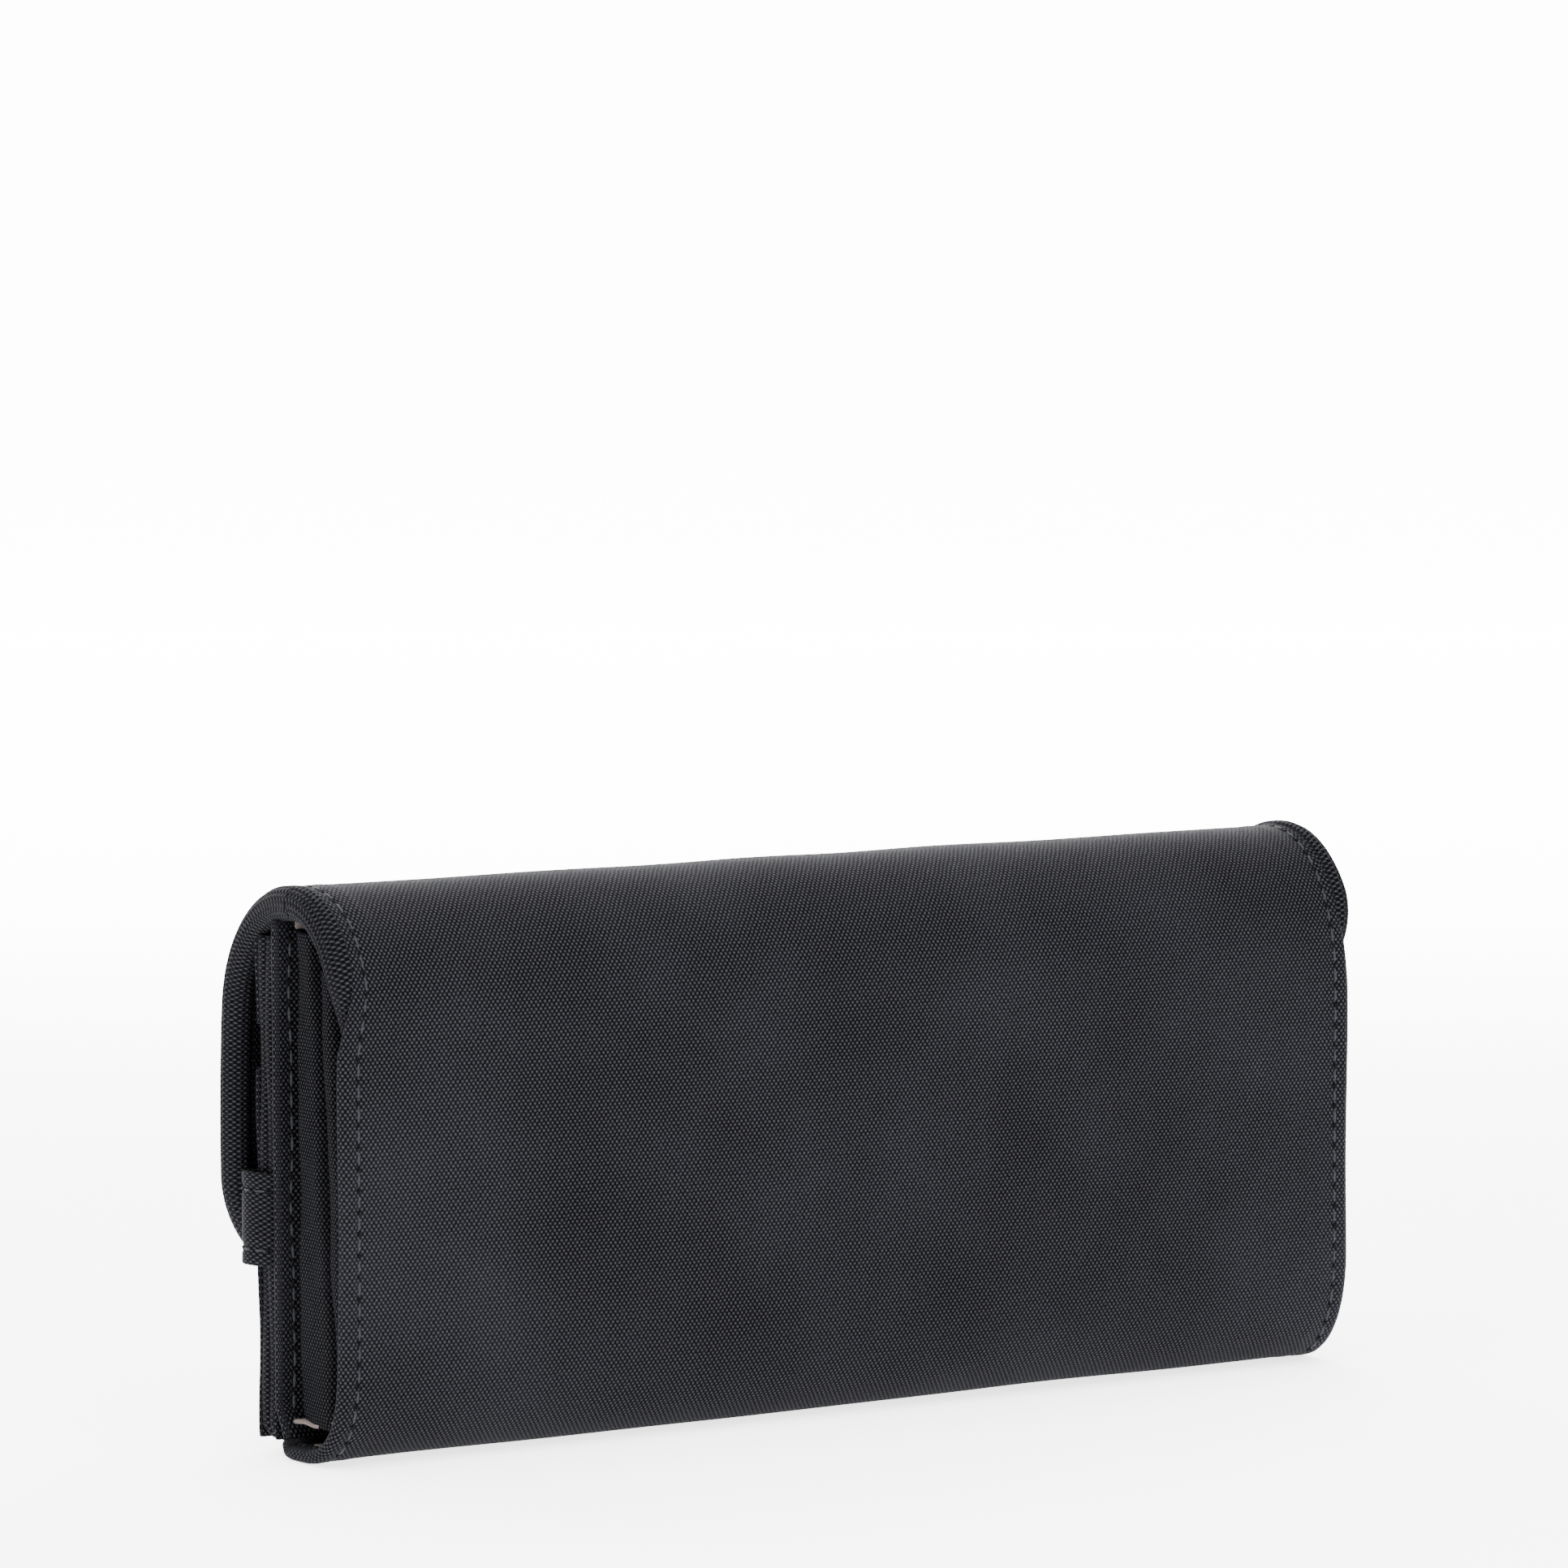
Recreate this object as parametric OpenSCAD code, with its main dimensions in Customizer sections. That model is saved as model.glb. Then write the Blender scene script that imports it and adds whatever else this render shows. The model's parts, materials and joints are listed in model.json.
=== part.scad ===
// Flap-over travel wallet with a gusseted body: a back section that carries the
// flap, a divider with card tiers, and a front section with a zipped pocket.
// Millimetres, +Z up, front towards -Y. The origin is the middle of the flat base.

/* [Body] */
// Width across the back panel
wallet_w = 215; // [200:1:224]
// Height over the closed flap
wallet_h = 98; // [97:1:104]
// Distance from the base's middle to the outside of the back panel
back_y = 16; // [15:0.5:18]
// Reach of the fold between the base and the back panel, front to back
base_fold_y = 15; // [13:0.5:16]
// Height of the same fold
base_fold_z = 22; // [18:1:24]

/* [Fabric] */
// Thickness of the outer nylon
nylon_t = 0.9; // [0.7:0.1:1]
// Thickness of the foam interlining
foam_t = 1.3; // [1:0.1:1.5]
// Thickness of the lining in the back section and the flap
lining_t = 0.8; // [0.6:0.1:1]
// Thickness of the light lining fabric in pockets and gussets
light_t = 0.6; // [0.5:0.1:0.6]

/* [Flap] */
// Height of the flap's lower edge above the base
flap_edge_z = 27; // [22:1:30]
// Corner radius of the flap
flap_corner_r = 20; // [14:1:26]
// Reach of the fold between the back panel and the top, front to back
rear_fold_y = 18.5; // [17:0.5:18.5]
// Reach of the fold between the top and the flap's front
front_fold_y = 20; // [19:0.5:20]
// Height of both folds
top_fold_z = 23; // [20:1:24]
// Width of the rolled band along the edge of the flap
band_w = 3; // [2:0.5:4]
// Height at which the rolled band ends on the back panel
band_end_z = 73; // [68:1:76]

/* [Front pocket] */
// Height of the pocket's lower edge
pocket_z = 2.8; // [2.8:0.1:3.4]
// Height of the pocket's upper edge
pocket_top_z = 89; // [87:1:90]
// Thickness of the pocket at its ends
pocket_t = 5.7; // [5.2:0.1:5.8]
// Extra thickness of the filled pocket at its middle
pocket_bulge = 3.6; // [2:0.2:3.6]
// Height of the zip above the base
zip_z = 70; // [68:0.5:72]
// Length of the zip's row of teeth
zip_len = 180; // [160:2:184]

/* [Divider] */
// Height of the divider
divider_z = 86; // [84:1:88]
// Number of card tiers
tiers = 4; // [4:1:4]
// Height of one card tier above the one in front of it
tier_step = 10; // [8:1:10]

/* [Side loop] */
// Height of the loop's strap
loop_w = 16; // [12:1:18]
// Height of the loop's lower edge above the base
loop_z = 33.5; // [30:0.5:36]
// Radius of the loop at the middle of its strap
loop_r = 5.8; // [5.6:0.1:6.2]

/* [Hidden] */

nylon = "#34353a";
nylon_dark = "#26272b";
foam_colour = "#8d8f93";
lining_colour = "#6f6661";
tape_colour = "#202126";
metal = "#6d6e70";

half_w = wallet_w / 2;
inner_half_w = half_w - 9.5;            // half width of the divider and its tiers
stack_t = nylon_t + foam_t + lining_t;  // nylon, foam and lining together
reach = 60;                             // half length of the cutting prisms along Y

// Folds, in the Y-Z plane: each is a quarter of an ellipse, with its centre and its
// reach in Y and Z, and the bodies part in the middle of the two folds at the top.
base_fold = [base_fold_y, base_fold_z];
base_fold_c = [back_y - base_fold_y, base_fold_z];
rear_fold = [rear_fold_y, top_fold_z];
rear_fold_c = [back_y - rear_fold_y, wallet_h - top_fold_z];
front_fold = [front_fold_y, top_fold_z];
part_angle_rear = 45;
part_angle_front = 135;
part_gap = 0.6;                         // half the parting gap, in degrees

// The flap's front is an arc of large radius that bows forwards.
bow_r = 320;
bow_z = 55;
bow_y = -24.2;
bow_c = [bow_y + bow_r, bow_z];
bow_top_a = asin((wallet_h - top_fold_z - bow_z) / (bow_r - pow(top_fold_z, 2) / front_fold_y));
bow_low_a = asin((bow_z - flap_edge_z) / bow_r);
fold_end_a = atan(tan(bow_top_a) * top_fold_z / front_fold_y);
front_fold_c = [
    bow_c[0] - bow_r * cos(bow_top_a) + front_fold_y * cos(fold_end_a), wallet_h - top_fold_z];

// Layers of the shell, as depths below its outer surface.
nylon_layer = [0, nylon_t];
foam_layer = [nylon_t, nylon_t + foam_t];
lining_layer = [nylon_t + foam_t, stack_t];
band_layer = [0.4, stack_t + 0.2];

// Front section, in Y.
base_front_y = -4;                      // front edge of the base
front_y = base_front_y - 1;             // outside of the front panel
front_foam_y = front_y + nylon_t;
front_lining_y = front_foam_y + 0.9;
sleeve_y = front_lining_y + 0.5;
front_top_z = 91.5;
front_low_z = 3;
corner_y = front_y + 3;                 // centre of the front section's hinge line

pocket_half_w = half_w - 1.5;
pocket_front_y = front_y - pocket_t;
pocket_back_t = 0.5;
zip_gap = 8;                            // opening between the two pocket panels

// Zip, in Y: tape, teeth and the slider's plates.
tape_y = pocket_front_y + light_t;
tape_t = 0.5;
teeth_y = pocket_front_y - 0.4;
teeth_t = 1.7;
teeth_slot = 1;                         // slot between the rows for the slider's neck
teeth_h = 1.6;
slider_gap = 0.3;
slider_x = -82;
slider_len = 9;
slider_w = 6.8;
puller_y = -14.4;
puller_t = 1.1;
puller_len = 21;

// Divider and card tiers, in Y.
divider_y = 5.6;
divider_t = 3;
divider_low_z = 8.2;
tier_t = 0.8;
tier_plate_t = 0.5;
tier_low_z = 9;

front_pleat_z = [8, 88];                // lower and upper ends of the front pleats
rear_pleat_z = [19, 76];

// Snap fastener, at the middle of the flap.
snap_z = 41;
cap_r = 6.25;
socket_r = 5.5;
socket_bore_r = 2.9;
stud_r = 2.3;
stud_base_r = 5;
post_r = 1.2;                           // radius of the posts that go through the fabric

// Points on an arc of centre c, from angle a0 to a1.
function arc(c, r, a0, a1, steps = 12) = fold(c, [r, r], 0, a0, a1, steps);

// Points on an ellipse of centre c and half axes r, at a depth inside it.
function fold(c, r, depth, a0, a1, steps) =
    [for (i = [0:steps]) let (a = a0 + (a1 - a0) * i / steps)
        c + [(r[0] - depth) * cos(a), (r[1] - depth) * sin(a)]];

function reversed(p) = [for (i = [len(p) - 1:-1:0]) p[i]];

// Outlines of the shell at a depth below its outer surface, in the Y-Z plane.
function back_line(depth, start_y = base_front_y) = concat(
    [[start_y, depth]],
    fold(base_fold_c, base_fold, depth, -90, 0, 16),
    fold(rear_fold_c, rear_fold, depth, 0, part_angle_rear - part_gap, 8));

function upper_back_line(depth) = concat(
    [[back_y - depth, band_end_z]],
    fold(rear_fold_c, rear_fold, depth, 0, part_angle_rear - part_gap, 8));

function spine_line(depth) = concat(
    fold(rear_fold_c, rear_fold, depth, part_angle_rear + part_gap, 90, 8),
    fold(front_fold_c, front_fold, depth, 90, part_angle_front - part_gap, 8));

// The fold stops a little short of the bow's first point, so that the two don't meet twice.
function flap_line(depth) = concat(
    fold(front_fold_c, front_fold, depth, part_angle_front + part_gap, 178 - fold_end_a, 8),
    arc(bow_c, bow_r - depth, 180 - bow_top_a, 180 + bow_low_a, 12));

// A sheet's section between two outlines.
function between(outer, inner) = concat(outer, reversed(inner));

// A sheet of thickness t that follows points p in a plane, thickened to both sides.
function normal_at(p, i) =
    let (a = p[max(i - 1, 0)], b = p[min(i + 1, len(p) - 1)], d = (b - a) / norm(b - a))
    [-d[1], d[0]];

function ribbon(p, t) = concat(
    [for (i = [0:len(p) - 1]) p[i] + normal_at(p, i) * t / 2],
    [for (i = [len(p) - 1:-1:0]) p[i] - normal_at(p, i) * t / 2]);

// Extrudes a Y-Z section along X, from x0 to x1.
module along_x(section, x0, x1) {
    translate([x0, 0, 0])
        rotate([90, 0, 90])
            linear_extrude(x1 - x0)
                polygon(section);
}

// Extrudes an X-Z outline along Y, through everything.
module through_y() {
    translate([0, reach, 0])
        rotate([90, 0, 0])
            linear_extrude(2 * reach)
                children();
}

module plate(half_x, y, t, z0, z1) {
    translate([-half_x, y, z0])
        cube([2 * half_x, t, z1 - z0]);
}

// A U of strips along both sides and the lower edge of a plate.
module u_strip(half_x, y, t, z0, z1, w) {
    difference() {
        plate(half_x, y, t, z0, z1);
        translate([0, -1, 0])
            plate(half_x - w, y, t + 2, z0 + w, z1 + 1);
    }
}

// The flap's outline in X-Z, drawn in by inset at its sides and lower edge.
module flap_outline(inset) {
    r = flap_corner_r - inset;
    low = flap_edge_z + inset;
    half_x = half_w - inset;
    translate([-half_x + r, low])
        square([2 * (half_x - r), wallet_h + 5 - low]);
    translate([-half_x, low + r])
        square([2 * half_x, wallet_h + 5 - low - r]);
    for (side = [-1, 1])
        translate([side * (half_x - r), low + r])
            circle(r, $fn = 96);
}

// The back panel's outline in X-Z: its edge steps in above the end of the band.
module back_outline() {
    step_z = band_end_z + 7;
    narrow = half_w - band_w;
    polygon([
        [-half_w, -1], [half_w, -1], [half_w, band_end_z], [narrow, step_z],
        [narrow, wallet_h + 1], [-narrow, wallet_h + 1], [-narrow, step_z],
        [-half_w, band_end_z]]);
}

// The part of the band's strip that the back panel leaves free, on the +X side.
module back_band_outline() {
    step_z = band_end_z + 7;
    narrow = half_w - band_w;
    polygon([
        [half_w, band_end_z], [half_w, wallet_h + 1],
        [narrow, wallet_h + 1], [narrow, step_z]]);
}

module outer_back_panel() {
    color(nylon)
        intersection() {
            along_x(between(back_line(nylon_layer[0]), back_line(nylon_layer[1])), -half_w, half_w);
            through_y() back_outline();
        }
}

module back_foam() {
    color(foam_colour)
        plate(half_w - band_w, back_y - foam_layer[1], foam_t,
            base_fold_z, wallet_h - top_fold_z);
}

module back_lining() {
    inset = half_w - band_w;
    start_y = corner_y + 0.6;
    fill = between(back_line(lining_layer[0], start_y), back_line(lining_layer[1], start_y));
    color(lining_colour)
        along_x(fill, -inset, inset);
}

module back_edge_band(side) {
    section = between(upper_back_line(band_layer[0]), upper_back_line(band_layer[1]));
    color(nylon)
        mirror([side < 0 ? 1 : 0, 0, 0])
            intersection() {
                along_x(section, half_w - band_w, half_w);
                through_y() back_band_outline();
            }
}

// Folded gussets at the two ends: X-Y paths on the +X side, extruded upwards.
front_pleat = [
    [half_w - 2.4, sleeve_y + 0.1], [half_w - 0.9, 5.2], [half_w - 1.4, 5.9], [half_w - 8.6, 7.6]];
rear_pleat = [
    [half_w - 8.6, 8.6], [half_w - 2.9, 11], [half_w - 2.9, 11.7], [half_w - 8.2, 12.4]];

module pleat(path, span_z, side) {
    color(nylon_dark)
        mirror([side < 0 ? 1 : 0, 0, 0])
            translate([0, 0, span_z[0]])
                linear_extrude(span_z[1] - span_z[0])
                    polygon(ribbon(path, light_t));
}

module front_panel() {
    color(nylon)
        plate(half_w - 0.5, front_y, nylon_t, front_low_z, front_top_z);
}

module front_foam() {
    color(foam_colour)
        plate(half_w - band_w, front_foam_y, 0.9, front_low_z, front_top_z - 1.5);
}

module front_lining() {
    color(lining_colour)
        plate(half_w - 2, front_lining_y, 0.5, 2.6, front_top_z - 0.5);
}

// A pocket layer: a plate sewn down along three edges, open at the top.
module sewn_layer(half_x, y, z0, z1, plate_t, total_t) {
    plate(half_x, y, plate_t, z0, z1);
    u_strip(half_x, y + plate_t, total_t - plate_t, z0, z1, 2.5);
}

// The sleeve faces backwards, so its plate is on the rear side of its seam.
module passport_sleeve() {
    color(lining_colour) {
        plate(inner_half_w, sleeve_y + 0.3, 0.5, 4, 72);
        u_strip(inner_half_w, sleeve_y, 0.3, 4, 72, 2.5);
    }
}

module pocket_back_lining() {
    color(lining_colour)
        plate(pocket_half_w, front_y - pocket_back_t, pocket_back_t, pocket_z, pocket_top_z);
}

module pocket_binding() {
    depth = pocket_t - pocket_back_t - light_t;
    color(nylon_dark)
        u_strip(pocket_half_w, pocket_front_y + light_t, depth, pocket_z, pocket_top_z, 1);
}

module pocket_upper_panel() {
    color(nylon)
        plate(pocket_half_w, pocket_front_y, light_t, zip_z + zip_gap / 2, pocket_top_z);
}

// The lower panel swells over what the pocket holds: a grid of points on a
// smooth bulge, closed to a sheet.
panel_cols = 28;
panel_rows = 14;
panel_top_z = zip_z - zip_gap / 2;

swell_half_w = pocket_half_w - 16;      // the ends stay flat, where the side loop is sewn on

function swell(x, v) = pocket_bulge * max(0, 1 - pow(x / swell_half_w, 2)) * sin(180 * v);

function panel_point(i, j, back) =
    let (x = pocket_half_w * (2 * i / panel_cols - 1), v = j / panel_rows)
    [x,
        pocket_front_y - swell(x, v) + (back ? light_t : 0),
        pocket_z + (panel_top_z - pocket_z) * v];

module pocket_lower_panel() {
    row = panel_cols + 1;
    layer = row * (panel_rows + 1);
    points = [for (back = [false, true]) for (j = [0:panel_rows]) for (i = [0:panel_cols])
        panel_point(i, j, back)];
    front_faces = [for (j = [0:panel_rows - 1]) for (i = [0:panel_cols - 1])
        let (a = j * row + i) each [[a, a + row, a + 1], [a + 1, a + row, a + row + 1]]];
    back_faces = [for (f = front_faces) [f[2] + layer, f[1] + layer, f[0] + layer]];
    rim = concat(
        [for (i = [0:panel_cols]) i],
        [for (j = [1:panel_rows]) j * row + panel_cols],
        [for (i = [panel_cols - 1:-1:0]) panel_rows * row + i],
        [for (j = [panel_rows - 1:-1:1]) j * row]);
    rim_faces = [for (k = [0:len(rim) - 1])
        let (a = rim[k], b = rim[(k + 1) % len(rim)])
        each [[a, b, b + layer], [a, b + layer, a + layer]]];
    color(nylon)
        polyhedron(points, concat(front_faces, rim_faces, back_faces));
}

module zip_tape(side) {
    z0 = side > 0 ? zip_z + teeth_slot / 2 + teeth_h : zip_z - 10;
    z1 = side > 0 ? zip_z + 10 : zip_z - teeth_slot / 2 - teeth_h;
    color(tape_colour)
        plate(zip_len / 2 + 6, tape_y, tape_t, z0, z1);
}

// One row of teeth: a rail with ribs at the zip's pitch.
module zip_teeth(side) {
    pitch = 2.5;
    rib = 1.3;
    z0 = side > 0 ? zip_z + teeth_slot / 2 : zip_z - teeth_slot / 2 - teeth_h;
    shift = side > 0 ? 0 : pitch / 2;
    color(nylon_dark) {
        plate(zip_len / 2, teeth_y + 0.4, teeth_t - 0.8, z0, z0 + teeth_h);
        for (x = [-zip_len / 2 + 1 + shift:pitch:zip_len / 2 - rib - 1])
            translate([x, teeth_y, z0])
                cube([rib, teeth_t, teeth_h]);
    }
}

module zip_stops() {
    color(metal)
        for (side = [-1, 1])
            translate([side * (zip_len / 2 + 1.4) - 1.2, teeth_y, zip_z - 2.1])
                cube([2.4, teeth_t, 4.2]);
}

// Slider: front and rear plates joined by a thin neck that runs in the slot
// between the rows, with a bridge that stands off the front plate.
bridge_y = -16;
bridge_t = 1.2;
bridge_half = 2.6;                      // from the slider's middle to each post

module zip_slider() {
    front_plate_y = teeth_y - slider_gap;
    rear_plate_y = teeth_y + teeth_t + slider_gap;
    color(metal)
        translate([slider_x, 0, zip_z]) {
            translate([-slider_len / 2, front_plate_y - 0.9, -slider_w / 2])
                cube([slider_len, 0.9, slider_w]);
            translate([-slider_len / 2, rear_plate_y, -slider_w / 2])
                cube([slider_len, 0.7, slider_w]);
            translate([-1.5, front_plate_y - 0.1, -0.25])
                cube([3, rear_plate_y - front_plate_y + 0.2, 0.5]);
            for (end = [-1, 1])
                translate([end * bridge_half - 0.6, bridge_y, -0.8])
                    cube([1.2, front_plate_y - bridge_y, 1.6]);
            translate([-bridge_half, bridge_y, -0.8])
                cube([2 * bridge_half, bridge_t, 1.6]);
        }
}

// Puller: a tapered tab along the zip. Its end bar sits under the slider's
// bridge, and the bridge's post stands in its eye.
module zip_puller() {
    end_x = -0.9;
    color(metal)
        translate([slider_x, puller_y + puller_t, zip_z])
            rotate([90, 0, 0])
                linear_extrude(puller_t)
                    difference() {
                        union() {
                            polygon([
                                [end_x, -2.1], [6, -2.1], [puller_len - 3, -3],
                                [puller_len - 3, 3], [6, 2.1], [end_x, 2.1]]);
                            translate([puller_len - 3, 0])
                                circle(3, $fn = 48);
                        }
                        translate([0.7, -1.3])
                            square([3.7, 2.6]);
                    }
}

// Side loop: a strap that leaves the seam behind the pocket, bows round the
// pocket's right edge and is sewn down on the pocket's face.
module side_loop() {
    c = [half_w - 4, pocket_front_y + 0.7];
    strap_t = 0.8;
    tab_y = pocket_front_y - strap_t / 2;
    end_a = -180 + asin((c[1] - tab_y) / loop_r);
    path = concat(arc(c, loop_r, 56, end_a, 28), [[c[0] - loop_r - 5, tab_y]]);
    color(nylon)
        translate([0, 0, loop_z])
            linear_extrude(loop_w)
                polygon(ribbon(path, strap_t));
}

// Places a snap part: its axis runs along Y, +Z of the part points forwards.
module on_snap_axis(y) {
    translate([0, y, snap_z])
        rotate([90, 0, 0])
            children();
}

stud_back_y = pocket_front_y - pocket_bulge - 0.1;
flap_outer_y = bow_y + bow_r - sqrt(pow(bow_r, 2) - pow(bow_z - snap_z, 2));
flap_inner_y = flap_outer_y + stack_t;

module snap_stud() {
    color(metal)
        on_snap_axis(stud_back_y) {
            cylinder(0.9, r = stud_base_r, $fn = 64);
            cylinder(2.7, r = stud_r - 0.4, $fn = 64);
            translate([0, 0, 2.7])
                cylinder(1.3, r = stud_r, $fn = 64);
        }
}

module snap_post() {
    color(metal)
        on_snap_axis(stud_back_y + 1.8) {
            cylinder(0.8, r = stud_base_r, $fn = 64);
            cylinder(1.8, r = post_r, $fn = 64);
        }
}

module snap_cap() {
    dome_r = 16;
    rim_z = flap_outer_y - 0.1;
    color(metal)
        on_snap_axis(rim_z) {
            cylinder(0.5, r = cap_r, $fn = 64);
            translate([0, 0, 0.5])
                intersection() {
                    translate([0, 0, 1.2 - dome_r])
                        sphere(dome_r, $fn = 96);
                    cylinder(2, r = cap_r, $fn = 64);
                }
            translate([0, 0, -stack_t - 0.6])
                cylinder(stack_t + 0.7, r = post_r, $fn = 64);
        }
}

module snap_socket() {
    color(metal)
        on_snap_axis(flap_inner_y + 2.7)
            difference() {
                cylinder(2.4, r = socket_r, $fn = 64);
                translate([0, 0, -1])
                    cylinder(2.7, r = socket_bore_r, $fn = 64);
                translate([0, 0, 1])
                    cylinder(2, r = post_r, $fn = 64);
            }
}

module divider_front_panel() {
    color(nylon_dark)
        plate(inner_half_w, divider_y, light_t, divider_low_z, divider_z);
}

module divider_back_panel() {
    color(nylon_dark)
        plate(inner_half_w, divider_y + divider_t - light_t, light_t, divider_low_z, divider_z);
}

module divider_binding() {
    color(nylon)
        u_strip(inner_half_w, divider_y + light_t, divider_t - 2 * light_t,
            divider_low_z, divider_z - 1, 1);
}

// Card tiers stack forwards from the divider, each lower than the one behind it.
module card_tier(k) {
    color(k % 2 == 0 ? nylon : nylon_dark)
        sewn_layer(inner_half_w, divider_y - (tiers + 1 - k) * tier_t,
            tier_low_z, 48 + (k - 1) * tier_step, tier_plate_t, tier_t);
}

module spine_sheet(layer, half_x) {
    along_x(between(spine_line(layer[0]), spine_line(layer[1])), -half_x, half_x);
}

module spine_edge_band(side) {
    section = between(spine_line(band_layer[0]), spine_line(band_layer[1]));
    color(nylon)
        mirror([side < 0 ? 1 : 0, 0, 0])
            along_x(section, half_w - band_w, half_w);
}

module flap_sheet(layer, inset) {
    intersection() {
        along_x(between(flap_line(layer[0]), flap_line(layer[1])), -half_w, half_w);
        through_y() flap_outline(inset);
    }
}

module flap_edge_band() {
    color(nylon)
        difference() {
            flap_sheet(band_layer, 0);
            through_y() flap_outline(band_w);
        }
}

outer_back_panel();
back_foam();
back_lining();
back_edge_band(-1);  // back_edge_band_left
back_edge_band(1);  // back_edge_band_right
pleat(rear_pleat, rear_pleat_z, -1);  // gusset_rear_left
pleat(rear_pleat, rear_pleat_z, 1);  // gusset_rear_right
front_panel();
front_foam();
front_lining();
passport_sleeve();
pleat(front_pleat, front_pleat_z, -1);  // gusset_front_left
pleat(front_pleat, front_pleat_z, 1);  // gusset_front_right
pocket_back_lining();
pocket_binding();
pocket_lower_panel();
pocket_upper_panel();
zip_tape(-1);  // zip_tape_lower
zip_tape(1);  // zip_tape_upper
zip_teeth(-1);  // zip_teeth_lower
zip_teeth(1);  // zip_teeth_upper
zip_stops();
zip_slider();
zip_puller();
side_loop();
snap_stud();
snap_post();
divider_front_panel();
divider_back_panel();
divider_binding();
card_tier(1);  // card_tier_1
card_tier(2);  // card_tier_2
card_tier(3);  // card_tier_3
card_tier(4);  // card_tier_4
color(nylon) spine_sheet(nylon_layer, half_w - band_w);  // spine_outer
color(foam_colour) spine_sheet(foam_layer, half_w - band_w);  // spine_foam
color(nylon_dark) spine_sheet(lining_layer, half_w - band_w);  // spine_lining
spine_edge_band(-1);  // spine_edge_band_left
spine_edge_band(1);  // spine_edge_band_right
color(nylon) flap_sheet(nylon_layer, band_w);  // flap_outer
color(foam_colour) flap_sheet(foam_layer, band_w);  // flap_foam
color(nylon_dark) flap_sheet(lining_layer, band_w);  // flap_lining
flap_edge_band();
snap_cap();
snap_socket();
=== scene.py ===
"""Soft travel wallet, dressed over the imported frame.

The wallet is a nylon shell that runs from the base up the back and over into a
flap, a gusseted body with a divider and card tiers, and a zipped pocket in
front. Lengths in the classes are millimetres; meshes are written in metres.
"""
from __future__ import annotations

import json
import logging
import math
from dataclasses import dataclass, field
from enum import Enum
from typing import Callable, Sequence

import bmesh
import bpy
import numpy as np
from mathutils import Matrix, Vector

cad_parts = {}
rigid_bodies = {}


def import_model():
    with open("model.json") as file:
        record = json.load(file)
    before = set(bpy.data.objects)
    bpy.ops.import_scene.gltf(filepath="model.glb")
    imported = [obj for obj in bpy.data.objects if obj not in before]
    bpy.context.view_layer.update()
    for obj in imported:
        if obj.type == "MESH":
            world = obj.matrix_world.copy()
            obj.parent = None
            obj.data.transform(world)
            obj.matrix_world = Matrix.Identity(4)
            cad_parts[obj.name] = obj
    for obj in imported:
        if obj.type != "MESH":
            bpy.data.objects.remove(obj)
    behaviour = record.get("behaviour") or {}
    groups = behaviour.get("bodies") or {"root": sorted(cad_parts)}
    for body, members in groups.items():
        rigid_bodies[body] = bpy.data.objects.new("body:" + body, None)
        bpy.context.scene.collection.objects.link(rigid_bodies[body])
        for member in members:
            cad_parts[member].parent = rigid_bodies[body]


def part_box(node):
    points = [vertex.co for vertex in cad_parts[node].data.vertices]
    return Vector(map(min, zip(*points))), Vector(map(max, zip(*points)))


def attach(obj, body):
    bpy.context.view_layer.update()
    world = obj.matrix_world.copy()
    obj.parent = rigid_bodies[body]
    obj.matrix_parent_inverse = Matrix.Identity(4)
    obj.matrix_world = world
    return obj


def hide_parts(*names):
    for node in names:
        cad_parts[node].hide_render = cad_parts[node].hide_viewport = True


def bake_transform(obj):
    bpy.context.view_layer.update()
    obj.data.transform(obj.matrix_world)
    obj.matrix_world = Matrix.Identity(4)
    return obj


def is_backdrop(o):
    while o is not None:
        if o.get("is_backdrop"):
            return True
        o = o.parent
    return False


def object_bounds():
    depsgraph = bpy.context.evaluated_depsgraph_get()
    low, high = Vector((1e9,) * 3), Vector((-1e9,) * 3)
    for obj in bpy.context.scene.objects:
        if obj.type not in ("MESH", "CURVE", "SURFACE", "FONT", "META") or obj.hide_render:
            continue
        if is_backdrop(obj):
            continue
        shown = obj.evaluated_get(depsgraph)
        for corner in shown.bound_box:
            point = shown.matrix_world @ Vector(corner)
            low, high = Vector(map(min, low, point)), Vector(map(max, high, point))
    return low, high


log = logging.getLogger("wallet")
MM = 0.001
TAU = 2 * math.pi
Array = np.ndarray


class Body(str, Enum):
    """The moving bodies that pieces ride on."""

    BACK = "back_section"
    DIVIDER = "divider"
    FRONT = "front_section"
    SLIDER = "zip_slider"
    PULLER = "zip_puller"
    SPINE = "flap_spine"
    FLAP = "flap_front"


class Side(Enum):
    """The two ends of the wallet."""

    LEFT = -1
    RIGHT = 1


# ---------------------------------------------------------------- the frame


@dataclass(frozen=True)
class Box:
    """A CAD node's box in millimetres."""

    lo: Vector
    hi: Vector

    @classmethod
    def of(cls, node: str) -> "Box":
        """Reads the box of a node.

        Args:
            node: name of the CAD node.

        Returns:
            Its box.
        """
        lo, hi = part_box(node)
        return cls(lo / MM, hi / MM)

    @property
    def mid(self) -> Vector:
        """The middle of the box."""
        return (self.lo + self.hi) / 2


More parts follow.
